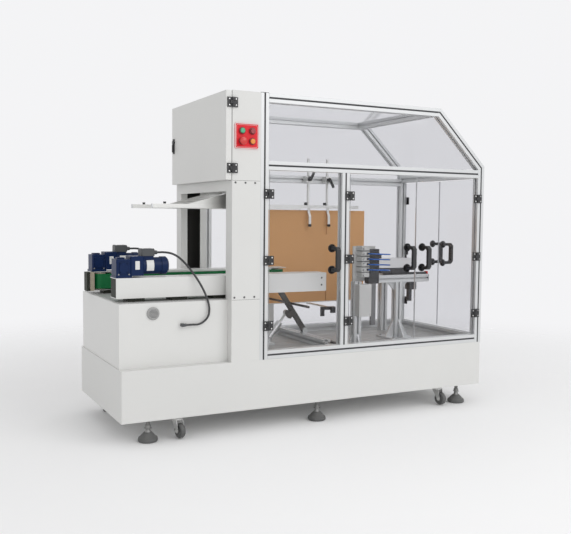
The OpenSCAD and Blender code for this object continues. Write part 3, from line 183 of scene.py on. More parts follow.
class Groups:
    """The effects that several finishes share, each built once."""

    @staticmethod
    def _start(name: str, takes: dict[str, str],
               gives: dict[str, str]) -> tuple[Graph, ShaderNode, ShaderNode]:
        """Starts a group.

        Args:
            name: Name of the group.
            takes: Input sockets by name, with their types.
            gives: Output sockets by name, with their types.

        Returns:
            The graph, the group's input node and its output node.
        """
        tree = bpy.data.node_groups.new(name, "ShaderNodeTree")
        for way, sockets in (("INPUT", takes), ("OUTPUT", gives)):
            for label, kind in sockets.items():
                tree.interface.new_socket(name=label, in_out=way, socket_type="NodeSocket" + kind)
        graph = Graph(tree)
        return graph, graph.node("NodeGroupInput"), graph.node("NodeGroupOutput")

    @staticmethod
    @cache
    def grain() -> Tree:
        """Makes fine relief and broad mottling, stretched along the way a piece was worked.

        Returns:
            The group.
        """
        graph, taken, given = Groups._start(
            "grain", {"Scale": "Float", "Stretch": "Vector"}, {"Mottle": "Float", "Height": "Float"})
        inputs = {0: graph.spot(), 1: taken.outputs["Stretch"]}
        drawn = graph.node("ShaderNodeVectorMath", inputs, operation="MULTIPLY").outputs[0]
        fine = graph.noise(drawn, taken.outputs["Scale"], detail=3.0, roughness=0.55)
        broad = graph.noise(drawn, scale=5.0, detail=4.0)
        graph.feed(given, {"Mottle": broad, "Height": fine})
        return graph.tree

    @staticmethod
    @cache
    def edge() -> Tree:
        """Makes softened edges, as a normal and as a mask of the edges that wear first.

        Returns:
            The group.
        """
        graph, taken, given = Groups._start(
            "edge", {"Radius": "Float"}, {"Normal": "Vector", "Mask": "Float"})
        soft = graph.node("ShaderNodeBevel", {"Radius": taken.outputs["Radius"]}, samples=4).outputs[0]
        flat = graph.node("ShaderNodeNewGeometry").outputs["Normal"]
        inputs = {0: soft, 1: flat}
        same = graph.node("ShaderNodeVectorMath", inputs, operation="DOT_PRODUCT").outputs["Value"]
        patch = graph.noise(graph.spot(), scale=38.0, detail=5.0)
        wide = graph.math("MULTIPLY", graph.math("SUBTRACT", 1.0, same), 5.0, clamp=True)
        broken = graph.math("SUBTRACT", patch, 0.38, clamp=True)
        graph.feed(given, {"Normal": soft, "Mask": graph.math("MULTIPLY", wide, broken, clamp=True)})
        return graph.tree

    @staticmethod
    @cache
    def dust() -> Tree:
        """Makes thin dust that settles on faces that look up.

        Returns:
            The group.
        """
        graph, taken, given = Groups._start("dust", {"Amount": "Float"}, {"Mask": "Float"})
        normal = graph.node("ShaderNodeNewGeometry").outputs["Normal"]
        height = graph.node("ShaderNodeSeparateXYZ", {0: normal}).outputs["Z"]
        patch = graph.noise(graph.spot(), scale=14.0, detail=6.0, roughness=0.6)
        up = graph.math("MULTIPLY", height, patch, clamp=True)
        graph.feed(given, {"Mask": graph.math("MULTIPLY", up, taken.outputs["Amount"])})
        return graph.tree

    @staticmethod
    @cache
    def lines() -> Tree:
        """Makes even ridges across a direction, as on corrugated board and woven belting.

        Returns:
            The group.
        """
        graph, taken, given = Groups._start(
            "lines", {"Across": "Vector", "Pitch": "Float"}, {"Height": "Float"})
        inputs = {0: graph.spot(), 1: taken.outputs["Across"]}
        along = graph.node("ShaderNodeVectorMath", inputs, operation="DOT_PRODUCT").outputs["Value"]
        turns = graph.math("DIVIDE", along, taken.outputs["Pitch"])
        wave = graph.math("SINE", graph.math("MULTIPLY", turns, math.tau))
        graph.feed(given, {"Height": graph.math("MULTIPLY_ADD", wave, 0.5, 0.5)})
        return graph.tree


def start_material(name: str, colour: Colour, cover: float) -> tuple[bpy.types.Material, Graph, ShaderNode]:
    """Starts the material of a finish with one Principled shader.

    Args:
        name: Name of the finish.
        colour: Colour in the solid view.
        cover: Opacity in the solid view.

    Returns:
        The material, its graph and its shader.
    """
    made = bpy.data.materials.new(name + "_finish")
    made.use_nodes = True
    made.diffuse_color = (*colour, cover)
    graph = Graph(made.node_tree)
    shader = graph.node("ShaderNodeBsdfPrincipled")
    graph.node("ShaderNodeOutputMaterial", {"Surface": shader.outputs[0]})
    return made, graph, shader


DUST_COLOUR: Colour = (0.62, 0.60, 0.57)
ROUGH_SPREAD = 0.16
COAT_ROUGHNESS = 0.12
LINE_STRENGTH = 0.8
GRAIN_STRENGTH = 0.7


@dataclass(frozen=True)
class Finish:
    """A solid finish and the detail that shows on it, with reliefs, edges and pitches in metres."""

    name: str
    colour: Colour
    roughness: float
    metallic: float = 0.0
    coat: float = 0.0
    specular: float = 0.5
    grain: float = 700.0
    stretch: Point = (1.0, 1.0, 1.0)
    relief: float = 0.00003
    mottle: float = 0.05
    edge: float = 0.0012
    worn: Optional[Colour] = None
    dusty: float = 0.12
    lines: tuple[tuple[Point, float], ...] = ()
    line_relief: float = 0.0

    @cache
    def material(self) -> bpy.types.Material:
        """Builds the finish once.

        Returns:
            The material, ready to be put on a piece.
        """
        made, graph, shader = start_material(self.name, self.colour, 1.0)
        grain = graph.group(Groups.grain(), Scale=self.grain, Stretch=self.stretch)
        edge = graph.group(Groups.edge(), Radius=self.edge)
        dust = graph.group(Groups.dust(), Amount=self.dusty)
        ridges = [graph.group(Groups.lines(), Across=across, Pitch=pitch).outputs["Height"]
                  for across, pitch in self.lines]
        mottle = grain.outputs["Mottle"]
        colour = graph.mix(mottle, self._shade(1.0 - self.mottle), self._shade(1.0 + self.mottle))
        for ridge in ridges:
            colour = graph.mix(ridge, colour, self._shade(1.0 + 2.0 * self.mottle))
        if self.worn:
            colour = graph.mix(edge.outputs["Mask"], colour, (*self.worn, 1.0))
        smoothest = self.roughness - ROUGH_SPREAD / 2
        graph.feed(shader, {
            "Base Color": graph.mix(dust.outputs["Mask"], colour, (*DUST_COLOUR, 1.0)),
            "Roughness": graph.math("MULTIPLY_ADD", mottle, ROUGH_SPREAD, smoothest, clamp=True),
            "Normal": self._normal(graph, edge.outputs["Normal"], ridges, grain.outputs["Height"]),
            "Metallic": self.metallic, "Specular IOR Level": self.specular,
            "Coat Weight": self.coat, "Coat Roughness": COAT_ROUGHNESS})
        return made

    def _normal(self, graph: Graph, edge: Socket, ridges: Sequence[Socket], grain: Socket) -> Socket:
        """Stacks the ridges and the grain on the softened edges.

        Args:
            graph: Graph of the material.
            edge: Normal of the softened edges.
            ridges: Heights of the ridges.
            grain: Height of the grain.

        Returns:
            The normal for the shader.
        """
        normal = edge
        layers = [(ridge, self.line_relief, LINE_STRENGTH) for ridge in ridges]
        for height, relief, strength in layers + [(grain, self.relief, GRAIN_STRENGTH)]:
            normal = graph.node("ShaderNodeBump", {
                "Height": height, "Normal": normal, "Distance": relief, "Strength": strength}).outputs[0]
        return normal

    def _shade(self, factor: float) -> tuple[float, float, float, float]:
        """Gives the colour, made darker or lighter."""
        r, g, b = (min(c * factor, 1.0) for c in self.colour)
        return r, g, b, 1.0


@dataclass(frozen=True)
class ClearSheet:
    """Clear plastic sheet that lets the lamps through to what it guards."""

    name: str
    colour: Colour
    roughness: float
    ior: float
    shade: float
    haze: float = 0.985
    haze_scale: float = 60.0
    cover: float = 0.3

    @cache
    def material(self) -> bpy.types.Material:
        """Builds the sheet's material once.

        Returns:
            The material, ready to be put on a piece.
        """
        made, graph, shader = start_material(self.name, self.colour, self.cover)
        haze = graph.group(Groups.grain(), Scale=self.haze_scale, Stretch=(1.0, 1.0, 1.0))
        hazy = tuple(c * self.haze for c in self.colour)
        rays = graph.node("ShaderNodeLightPath")
        passing = graph.math("MAXIMUM", rays.outputs["Is Shadow Ray"], rays.outputs["Is Diffuse Ray"])
        graph.feed(shader, {
            "Base Color": graph.mix(haze.outputs["Mottle"], (*hazy, 1.0), (*self.colour, 1.0)),
            "Roughness": self.roughness, "IOR": self.ior, "Transmission Weight": 1.0,
            "Alpha": graph.math("MULTIPLY_ADD", passing, self.shade - 1.0, 1.0)})
        return made


BARE_STEEL: Colour = (0.45, 0.45, 0.44)
ALONG_X: Point = (0.05, 1.0, 1.0)
BELT_WEAVE = (((1.0, 0.0, 0.0), 0.0022), ((0.0, 0.0, 1.0), 0.0022))
BOARD_FLUTES = (((1.0, 0.0, 0.0), 0.007),)

FINISHES: dict[str, Finish | ClearSheet] = {finish.name: finish for finish in (
    Finish("light_paint", (0.705, 0.705, 0.69), 0.46, mottle=0.02, worn=(0.74, 0.74, 0.73)),
    Finish("white_paint", (0.73, 0.73, 0.715), 0.40, mottle=0.02, worn=(0.80, 0.80, 0.79)),
    Finish("deck_steel", (0.48, 0.48, 0.475), 0.50, metallic=0.4, stretch=(0.04, 1.0, 1.0), mottle=0.16),
    Finish("profile", (0.66, 0.67, 0.675), 0.38, metallic=0.35, stretch=(0.3, 0.3, 0.3), mottle=0.04,
           edge=0.0008, dusty=0.03),
    ClearSheet("clear_sheet", (0.857, 0.858, 0.872), 0.03, 1.15, 0.14),
    Finish("black_plastic", (0.024, 0.024, 0.026), 0.42, relief=0.00006, mottle=0.15, dusty=0.03),
    Finish("red_plate", (0.74, 0.008, 0.02), 0.50, specular=0.4, mottle=0.05, dusty=0.0),
    Finish("green_button", (0.05, 0.40, 0.20), 0.25, coat=0.6, mottle=0.06, dusty=0.0),
    Finish("dark_red_button", (0.30, 0.015, 0.02), 0.25, coat=0.6, mottle=0.06, dusty=0.0),
    Finish("red_button", (0.62, 0.02, 0.015), 0.28, coat=0.5, mottle=0.06, dusty=0.0),
    Finish("orange_button", (0.80, 0.26, 0.02), 0.25, coat=0.6, mottle=0.06, dusty=0.0),
    Finish("foot_rubber", (0.105, 0.107, 0.106), 0.62, relief=0.00012, mottle=0.25, dusty=0.15),
    Finish("zinc_steel", (0.58, 0.58, 0.57), 0.34, metallic=0.9, mottle=0.12, dusty=0.1),
    Finish("dark_steel", (0.075, 0.075, 0.078), 0.42, metallic=0.5, mottle=0.25, worn=BARE_STEEL),
    Finish("belt", (0.0, 0.125, 0.034), 0.50, specular=0.3, mottle=0.08, dusty=0.02, line_relief=0.0002,
           lines=BELT_WEAVE),
    Finish("roller", (0.37, 0.325, 0.25), 0.40, stretch=(1.0, 1.0, 0.2), mottle=0.08),
    Finish("motor_paint", (0.001, 0.014, 0.066), 0.36, specular=0.2, relief=0.00012, grain=260.0,
           mottle=0.12, worn=(0.04, 0.07, 0.16), dusty=0.01),
    Finish("terminal_plastic", (0.065, 0.069, 0.073), 0.45, relief=0.00008, mottle=0.12),
    Finish("cable_rubber", (0.035, 0.035, 0.037), 0.45, mottle=0.15, edge=0.0004, dusty=0.03),
    Finish("bright_steel", (0.72, 0.72, 0.70), 0.30, metallic=0.7, stretch=ALONG_X, mottle=0.08),
    Finish("cardboard", (0.655, 0.360, 0.163), 0.78, relief=0.00012, grain=420.0, mottle=0.09,
           stretch=(1.0, 1.0, 0.35), edge=0.0004, worn=(0.56, 0.36, 0.21), line_relief=0.00012,
           lines=BOARD_FLUTES),
    Finish("cylinder_alu", (0.70, 0.70, 0.70), 0.34, metallic=0.7, stretch=ALONG_X, mottle=0.06),
    Finish("pusher_steel", (0.22, 0.22, 0.225), 0.40, metallic=0.6, mottle=0.14, worn=BARE_STEEL),
    Finish("valve_plastic", (0.56, 0.56, 0.55), 0.42, mottle=0.06),
    Finish("air_hose", (0.02, 0.12, 0.46), 0.28, coat=0.3, mottle=0.08, edge=0.0003, dusty=0.0),
    # Dark fill for the profile slots; on the fan cowls and the vent it is painted shade in open slots.
    Finish("dark_slot_fill", (0.030, 0.030, 0.034), 0.55, mottle=0.12, edge=0.0003, dusty=0.05),
    Finish("label_white", (0.72, 0.72, 0.71), 0.40, mottle=0.05, edge=0.0003, dusty=0.04),
    Finish("bezel_red", (0.20, 0.012, 0.016), 0.34, coat=0.3, mottle=0.08, edge=0.0005, dusty=0.02),
    Finish("cap_red", (0.62, 0.02, 0.015), 0.40, mottle=0.06, edge=0.0005, dusty=0.05),
    Finish("vent_grey", (0.36, 0.36, 0.355), 0.45, mottle=0.08, edge=0.0005, dusty=0.05),
    # Near-black colour of the sheets that paint the shade inside the hollow pillars.
    Finish("painted_shade_sheet", (0.030, 0.028, 0.026), 0.85, relief=0.0002, grain=300.0, mottle=0.25, dusty=0.02),
    Finish("seam", (0.16, 0.16, 0.155), 0.70, mottle=0.15, edge=0.0002, dusty=0.0),
    Finish("rivet_steel", (0.13, 0.13, 0.128), 0.42, metallic=0.4, mottle=0.10, edge=0.0003, dusty=0.0),
    Finish("stem_steel", (0.27, 0.27, 0.265), 0.38, metallic=0.8, mottle=0.14, edge=0.0005, dusty=0.05),
    Finish("bracket_steel", (0.026, 0.028, 0.021), 0.55, specular=0.2, mottle=0.2, dusty=0.03),
    Finish("arm_steel", (0.125, 0.118, 0.112), 0.42, metallic=0.4, mottle=0.2, worn=BARE_STEEL),
    # Grey of the door edge rims: painted shade for the darker look of the clear edges.
    Finish("edge_shade_grey", (0.60, 0.61, 0.63), 0.35, mottle=0.06, edge=0.0002, dusty=0.0),
    Finish("screw_steel", (0.66, 0.66, 0.65), 0.28, metallic=0.9, mottle=0.10, edge=0.0003, dusty=0.03),
)}


def add_piece(name: str, data: bpy.types.ID, finish: str, body: str) -> bpy.types.Object:
    """Puts a mesh or a curve into the scene as a piece of the machine.

    Args:
        name: Name of the piece.
        data: Its mesh or curve.
        finish: Key of its finish.
        body: Body that it rides on.

    Returns:
        The new object.
    """
    data.materials.append(FINISHES[finish].material())
    made = bpy.data.objects.new(name, data)
    bpy.context.scene.collection.objects.link(made)
    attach(made, body)
    LOG.info("%s: %s on %s", name, finish, body)
    return made


def rounded_outline(width: float, height: float, radius: float, steps: int = 6) -> list[Flat]:
    """Gives a rectangle with round corners, centred.

    Args:
        width: Size along the first axis.
        height: Size along the second axis.
        radius: Radius of the corners.
        steps: Steps round each corner.

    Returns:
        The outline's points in order.
    """
    points = []
    for quarter, (sx, sy) in enumerate(((1, 1), (-1, 1), (-1, -1), (1, -1))):
        for k in range(steps + 1):
            angle = math.pi / 2 * (quarter + k / steps)
            points.append((sx * (width / 2 - radius) + radius * math.cos(angle),
                           sy * (height / 2 - radius) + radius * math.sin(angle)))
    return points


class Shape:
    """A mesh gathered from turned, extruded and bevelled parts."""

    sharp_angle = math.radians(35.0)

    def __init__(self, name: str) -> None:
        """Starts an empty shape under the name of its piece."""
        self.name = name
        self.bm = bmesh.new()

    def loop(self, points: Iterable[Point], place: Matrix) -> list[Vert]:
        """Adds the points of a loop, given in a frame."""
        return [self.bm.verts.new(place @ Vector((x * MM, y * MM, z * MM))) for x, y, z in points]

    def _band(self, low: Sequence[Vert], high: Sequence[Vert]) -> None:
        """Joins two loops of as many points by a band of faces.

        Args:
            low: The first loop.
            high: The second loop.
        """
        for k in range(len(low)):
            n = (k + 1) % len(low)
            self.bm.faces.new((low[k], low[n], high[n], high[k]))

    def skin(self, loops: Sequence[Sequence[Vert]]) -> None:
        """Closes a body through some loops, with a face at each end.

        Args:
            loops: The loops from one end to the other, with as many points each.
        """
        for low, high in zip(loops, loops[1:]):
            self._band(low, high)
        self.bm.faces.new(loops[0][::-1])
        self.bm.faces.new(loops[-1])

    def turned(self, rings: Iterable[Ring], place: Matrix, steps: int = 24) -> None:
        """Adds a closed turned body.

        Args:
            rings: Radius, height and number of flats of each ring; no flats is a round ring.
            place: Frame whose Z axis is the axis of turning.
            steps: Points round each ring.
        """
        angles = [math.tau * k / steps for k in range(steps)]
        loops = []
        for radius, height, flats in rings:
            reaches = [radius * self._flat_reach(a, flats) for a in angles]
            points = [(r * math.cos(a), r * math.sin(a), height) for r, a in zip(reaches, angles)]
            loops.append(self.loop(points, place))
        self.skin(loops)

    @staticmethod
    def _flat_reach(angle: float, flats: int) -> float:
        """Gives the reach of a regular polygon.

        Args:
            angle: Direction of the reach.
            flats: Number of the polygon's sides, or none for a circle.

        Returns:
            The reach as a share of the corner radius.
        """
        if not flats:
            return 1.0
        half = math.pi / flats
        return math.cos(half) / math.cos(angle % (2 * half) - half)

    def plate(self, outline: Sequence[Flat], depth: float, place: Matrix) -> None:
        """Adds a flat outline in a frame's XY plane, made solid along its Z axis."""
        self.skin([self.loop([(x, y, z) for x, y in outline], place) for z in (0.0, depth)])

    def ring_plate(self, outer: Sequence[Flat], inner: Sequence[Flat], depth: float, place: Matrix) -> None:
        """Adds a flat frame between two outlines with as many points.

        Args:
            outer: Outer outline, in the frame's XY plane.
            inner: Inner outline.
            depth: Thickness along the frame's Z axis.
            place: The frame.
        """
        loops = [self.loop([(x, y, z) for x, y in line], place)
                 for line, z in ((outer, 0.0), (outer, depth), (inner, depth), (inner, 0.0))]
        for low, high in zip(loops, loops[1:] + loops[:1]):
            self._band(low, high)

    def slab(self, low: Vector, high: Vector, bevel: float) -> None:
        """Adds a block with rounded edges.

        Args:
            low: Lowest corner, in metres.
            high: Highest corner, in metres.
            bevel: Width of the rounding.
        """
        place = Matrix.Translation((low + high) / 2) @ Matrix.Diagonal((*(high - low), 1.0))
        made = bmesh.ops.create_cube(self.bm, size=1.0, matrix=place)
        edges = list(dict.fromkeys(e for v in made["verts"] for e in v.link_edges))
        bmesh.ops.bevel(self.bm, geom=edges, offset=bevel * MM, segments=2, profile=0.5, affect="EDGES")

    def piece(self, finish: str, body: str = MACHINE, slot: Optional[str] = None) -> None:
        """Turns the shape into a piece of the scene.

        Args:
            finish: Key of its finish.
            body: Body that it rides on.
            slot: The record's material slot, where it isn't named like the finish. Not used.
        """
        bmesh.ops.recalc_face_normals(self.bm, faces=self.bm.faces)
        mesh = bpy.data.meshes.new(self.name)
        self.bm.to_mesh(mesh)
        self.bm.free()
        mesh.shade_smooth()
        mesh.set_sharp_from_angle(angle=self.sharp_angle)
        add_piece(self.name, mesh, finish, body)


class Head(Enum):
    """Kinds of small fastener, by the rings of their heads as shares of the head's radius."""

    PAN = ((1.0, 0.0, 0), (1.0, 0.20, 0), (0.85, 0.45, 0), (0.50, 0.60, 0), (0.45, 0.60, 6),
           (0.45, 0.30, 6), (0.1, 0.30, 0))
    SOCKET = ((1.0, 0.0, 0), (1.0, 0.85, 0), (0.90, 1.0, 0), (0.55, 1.0, 6), (0.55, 0.45, 6), (0.1, 0.45, 0))
    HEX = ((1.25, 0.0, 0), (1.25, 0.18, 0), (1.0, 0.18, 6), (1.0, 0.80, 6), (0.88, 0.95, 0), (0.2, 0.95, 0))

    def rings(self, size: float) -> list[Ring]:
        """Gives the rings of a head by its diameter, from its seat outwards."""
        return [(radius * size / 2, height * size / 2, flats) for radius, height, flats in self.value]


def fasteners(name: str, seats: Iterable[Matrix], head: Head, size: float,
              body: str = MACHINE, finish: str = "screw_steel", slot: str = "zinc_steel") -> None:
    """Makes a set of like fasteners as one piece.

    Args:
        name: Name of the piece.
        seats: Frame on the seat of each fastener.
        head: Kind of head.
        size: Diameter of the head.
        body: Body that they ride on.
        finish: Key of their finish.
        slot: The record's material slot.
    """
    shape = Shape(name)
    for seat in seats:
        shape.turned(head.rings(size), seat, steps=12)
    shape.piece(finish, body, slot)


@dataclass(frozen=True)
class Hinge:
    """The hinge that all doors hang on, with two screws in each leaf."""

    screw_out: float = 15.5
    screw_up: float = 13.0
    leaf_face: float = 5.0
    screw_d: float = 7.5

    def seats(self, pin: Flat, heights: Iterable[float], across: Flat, facing: Facing) -> list[Matrix]:
        """Gives the seats of the screws in one leaf of each hinge.

        Args:
            pin: Place of the leaves' middle along the machine and across it.
            heights: Heights of the hinges.
            across: Direction from the pin to the leaf, along the machine and across it.
            facing: Way that the leaf faces.

        Returns:
            A frame on each seat.
        """
        x, y = (place + way * self.screw_out for place, way in zip(pin, across))
        ups = (-self.screw_up, self.screw_up)
        return [facing.at(at(x, y, z + up)) for z in heights for up in ups]


HINGE = Hinge()


@dataclass
class Nodes:
    """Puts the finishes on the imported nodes, by the slots that the record gives them."""

    own: tuple[tuple[str, str], ...] = (
        ("button_bezels", "bezel_red"), ("foot_stems", "stem_steel"), ("belt_brackets", "bracket_steel"),
        ("folder_arm", "arm_steel"))

    def dress(self) -> None:
        """Swaps each node's plain material for its finish."""
        own = dict(self.own)
        for row in frame["record"]["subparts"]:
            look = own.get(row["node"], row["material_slot"])
            node = frame["nodes"][row["node"]]
            node.data.materials.clear()
            node.data.materials.append(FINISHES[look].material())
            LOG.info("%s: %s", row["node"], look)


def smooth_route(spots: Sequence[Vector], steps: int = 2) -> list[Vector]:
    """Gives a smooth line through some points.

    Args:
        spots: The points that were chosen.
        steps: How many points the line has for each of them.

    Returns:
        The line's points, from the first to the last.
    """
    found = []
    for i in range(len(spots) - 1):
        a, b, c, d = (spots[max(0, min(k, len(spots) - 1))] for k in (i - 1, i, i + 1, i + 2))
        for s in range(steps):
            t = s / steps
            found.append(0.5 * (2 * b + (c - a) * t + (2 * a - 5 * b + 4 * c - d) * t ** 2
                                + (3 * b - a - 3 * c + d) * t ** 3))
    return found + [spots[-1]]


def tube_curve(name: str, lines: Iterable[Sequence[Vector]], diameter: float,
               finish: str) -> bpy.types.Object:
    """Lays round tubes along lines, as one piece that rides on the machine.

    Args:
        name: Name of the piece.
        lines: Points of each tube, in metres.
        diameter: Outer diameter.
        finish: Key of the finish, which is also the record's slot.

    Returns:
        The new object.
    """
    curve = bpy.data.curves.new(name, "CURVE")
    curve.dimensions = "3D"
    curve.bevel_depth = diameter * MM / 2
    curve.bevel_resolution = 4
    curve.resolution_u = 6
    curve.use_fill_caps = True
    for line in lines:
        spline = curve.splines.new("BEZIER")
        spline.bezier_points.add(len(line) - 1)
        for knot, spot in zip(spline.bezier_points, line):
            knot.co = spot
            knot.handle_left_type = knot.handle_right_type = "AUTO"
    return add_piece(name, curve, finish, MACHINE)


@dataclass
class MotorCable:
    """A motor cable from its gland to where it enters the machine."""

    name: str
    node: str
    route: tuple[Point, ...]
    diameter: float = 9.0

    def build(self) -> None:
        line = smooth_route([at(*p) for p in self.route])
        made = tube_curve(self.name, [line], self.diameter, "cable_rubber")
        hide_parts(self.node)


FRONT_CABLE = MotorCable("front_cable", "front_motor_cable", (
    (195, 132, 796), (209, 132, 796), (223, 132, 796), (253, 127, 792), (280, 116, 779), (306, 100, 754),
    (334, 79, 714), (361, 59, 667), (384, 43, 614), (396, 33, 564), (391, 30, 524), (368, 30, 499),
    (344, 30, 490), (322, 30, 490), (306, 30, 490), (290, 30, 490)))
REAR_CABLE = MotorCable("rear_cable", "rear_motor_cable", (
    (195, 548, 796), (209, 548, 796), (223, 548, 796), (252, 547, 792), (280, 546, 780), (304, 546, 760),
    (315, 546, 736), (317, 546, 722), (317, 546, 714), (317, 546, 706)))


@dataclass(frozen=True)
class Lamp:
    """A square soft lamp that looks at a target, with its side in metres and its power in watts."""

    name: str
    place: Point
    target: Point
    side: float
    power: float

    def hang(self) -> None:
        """Hangs the lamp."""
        place, target = at(*self.place), at(*self.target)
        data = bpy.data.lights.new(self.name, "AREA")
        data.size = self.side
        data.energy = self.power
        made = bpy.data.objects.new(self.name, data)
        made.location = place
        made.rotation_mode = "QUATERNION"
        made.rotation_quaternion = (target - place).to_track_quat("-Z", "Y")
        bpy.context.scene.collection.objects.link(made)


@dataclass
class Stage:
    """Floor, background, lamps and the camera at the photograph's place, with angles in degrees."""

    background: Colour = (0.905, 0.905, 0.918)
    ambient: float = 0.70
    lens: float = 49.17
    sensor: float = 36.0
    camera_place: Point = (-852.1, -3087.1, 950.7)
    yaw: float = 27.40
    pitch: float = 3.65
    roll: float = 0.50
    floor_radius: float = 14000.0
    floor_sides: int = 96
    floor_drop: float = 0.5
    floor_colour: Colour = (0.965, 0.965, 0.97)
    fade_from: float = 1200.0
    fade_to: float = 4200.0
    lamps: tuple[Lamp, ...] = (
        Lamp("key_lamp", (2600, -3600, 3300), (900, 300, 650), 3.2, 60.0),
        Lamp("front_lamp", (-300, -4600, 1700), (900, 300, 750), 3.0, 20.0),
        Lamp("top_lamp", (900, 300, 4300), (900, 300, 600), 3.0, 10.0))

    def build(self) -> None:
        """Builds the studio."""
        bpy.context.scene.view_settings.view_transform = "Standard"
        self._camera()
        self._world()
        self._floor()
        for lamp in self.lamps:
            lamp.hang()

    def _camera(self) -> None:
        """Places the camera by its yaw, pitch and roll."""
        yaw, pitch, roll = (math.radians(a) for a in (self.yaw, self.pitch, self.roll))
        ahead = Vector((math.sin(yaw) * math.cos(pitch), math.cos(yaw) * math.cos(pitch), -math.sin(pitch)))
        side = Vector((math.cos(yaw), -math.sin(yaw), 0.0))
        up = side.cross(ahead)
        right = side * math.cos(roll) + up * math.sin(roll)
        top = up * math.cos(roll) - side * math.sin(roll)
        data = bpy.data.cameras.new("photo_camera")
        data.lens = self.lens
        data.sensor_width = self.sensor
        made = bpy.data.objects.new("photo_camera", data)
        turn = Matrix((right, top, -ahead)).transposed().to_4x4()
        made.matrix_world = Matrix.Translation(at(*self.camera_place)) @ turn
        bpy.context.scene.collection.objects.link(made)
        bpy.context.scene.camera = made

    def _world(self) -> None:
        """Lights all sides evenly and shows a pale background to the camera, metal and glass."""
        world = bpy.data.worlds.new("studio")
        bpy.context.scene.world = world
        world.use_nodes = True
        graph = Graph(world.node_tree)
        rays = graph.node("ShaderNodeLightPath")
        seen = graph.math("MAXIMUM", rays.outputs["Is Camera Ray"], rays.outputs["Is Glossy Ray"])
        seen = graph.math("MAXIMUM", seen, rays.outputs["Is Transmission Ray"])
        soft = graph.node("ShaderNodeBackground", {"Color": (1.0, 1.0, 1.0, 1.0), "Strength": self.ambient})
        pale = graph.node("ShaderNodeBackground", {"Color": (*self.background, 1.0), "Strength": 1.0})
        both = graph.node("ShaderNodeMixShader", {0: seen, 1: soft.outputs[0], 2: pale.outputs[0]})
        graph.node("ShaderNodeOutputWorld", {"Surface": both.outputs[0]})

    def _floor(self) -> None:
        """Lays a pale floor that fades into the background far from the machine."""
        shape = bmesh.new()
        radius = self.floor_radius * MM
        bmesh.ops.create_circle(shape, cap_ends=True, segments=self.floor_sides, radius=radius)
        mesh = bpy.data.meshes.new("studio_floor")
        shape.to_mesh(mesh)
        shape.free()
        floor = bpy.data.objects.new("studio_floor", mesh)
        floor.location.z = -self.floor_drop * MM
        bpy.context.scene.collection.objects.link(floor)
        made = bpy.data.materials.new("studio_floor")
        made.use_nodes = True
        graph = Graph(made.node_tree)
        far = graph.node("ShaderNodeVectorMath", {0: graph.spot()}, operation="LENGTH").outputs["Value"]
        ends = {"Value": far, "From Min": self.fade_from * MM, "From Max": self.fade_to * MM}
        fade = graph.node("ShaderNodeMapRange", ends, interpolation_type="SMOOTHSTEP").outputs[0]
        matt = graph.node("ShaderNodeBsdfDiffuse", {"Color": (*self.floor_colour, 1.0)}).outputs[0]
        clear = graph.node("ShaderNodeBsdfTransparent").outputs[0]
        both = graph.node("ShaderNodeMixShader", {0: fade, 1: matt, 2: clear})
        graph.node("ShaderNodeOutputMaterial", {"Surface": both.outputs[0]})
        mesh.materials.append(made)


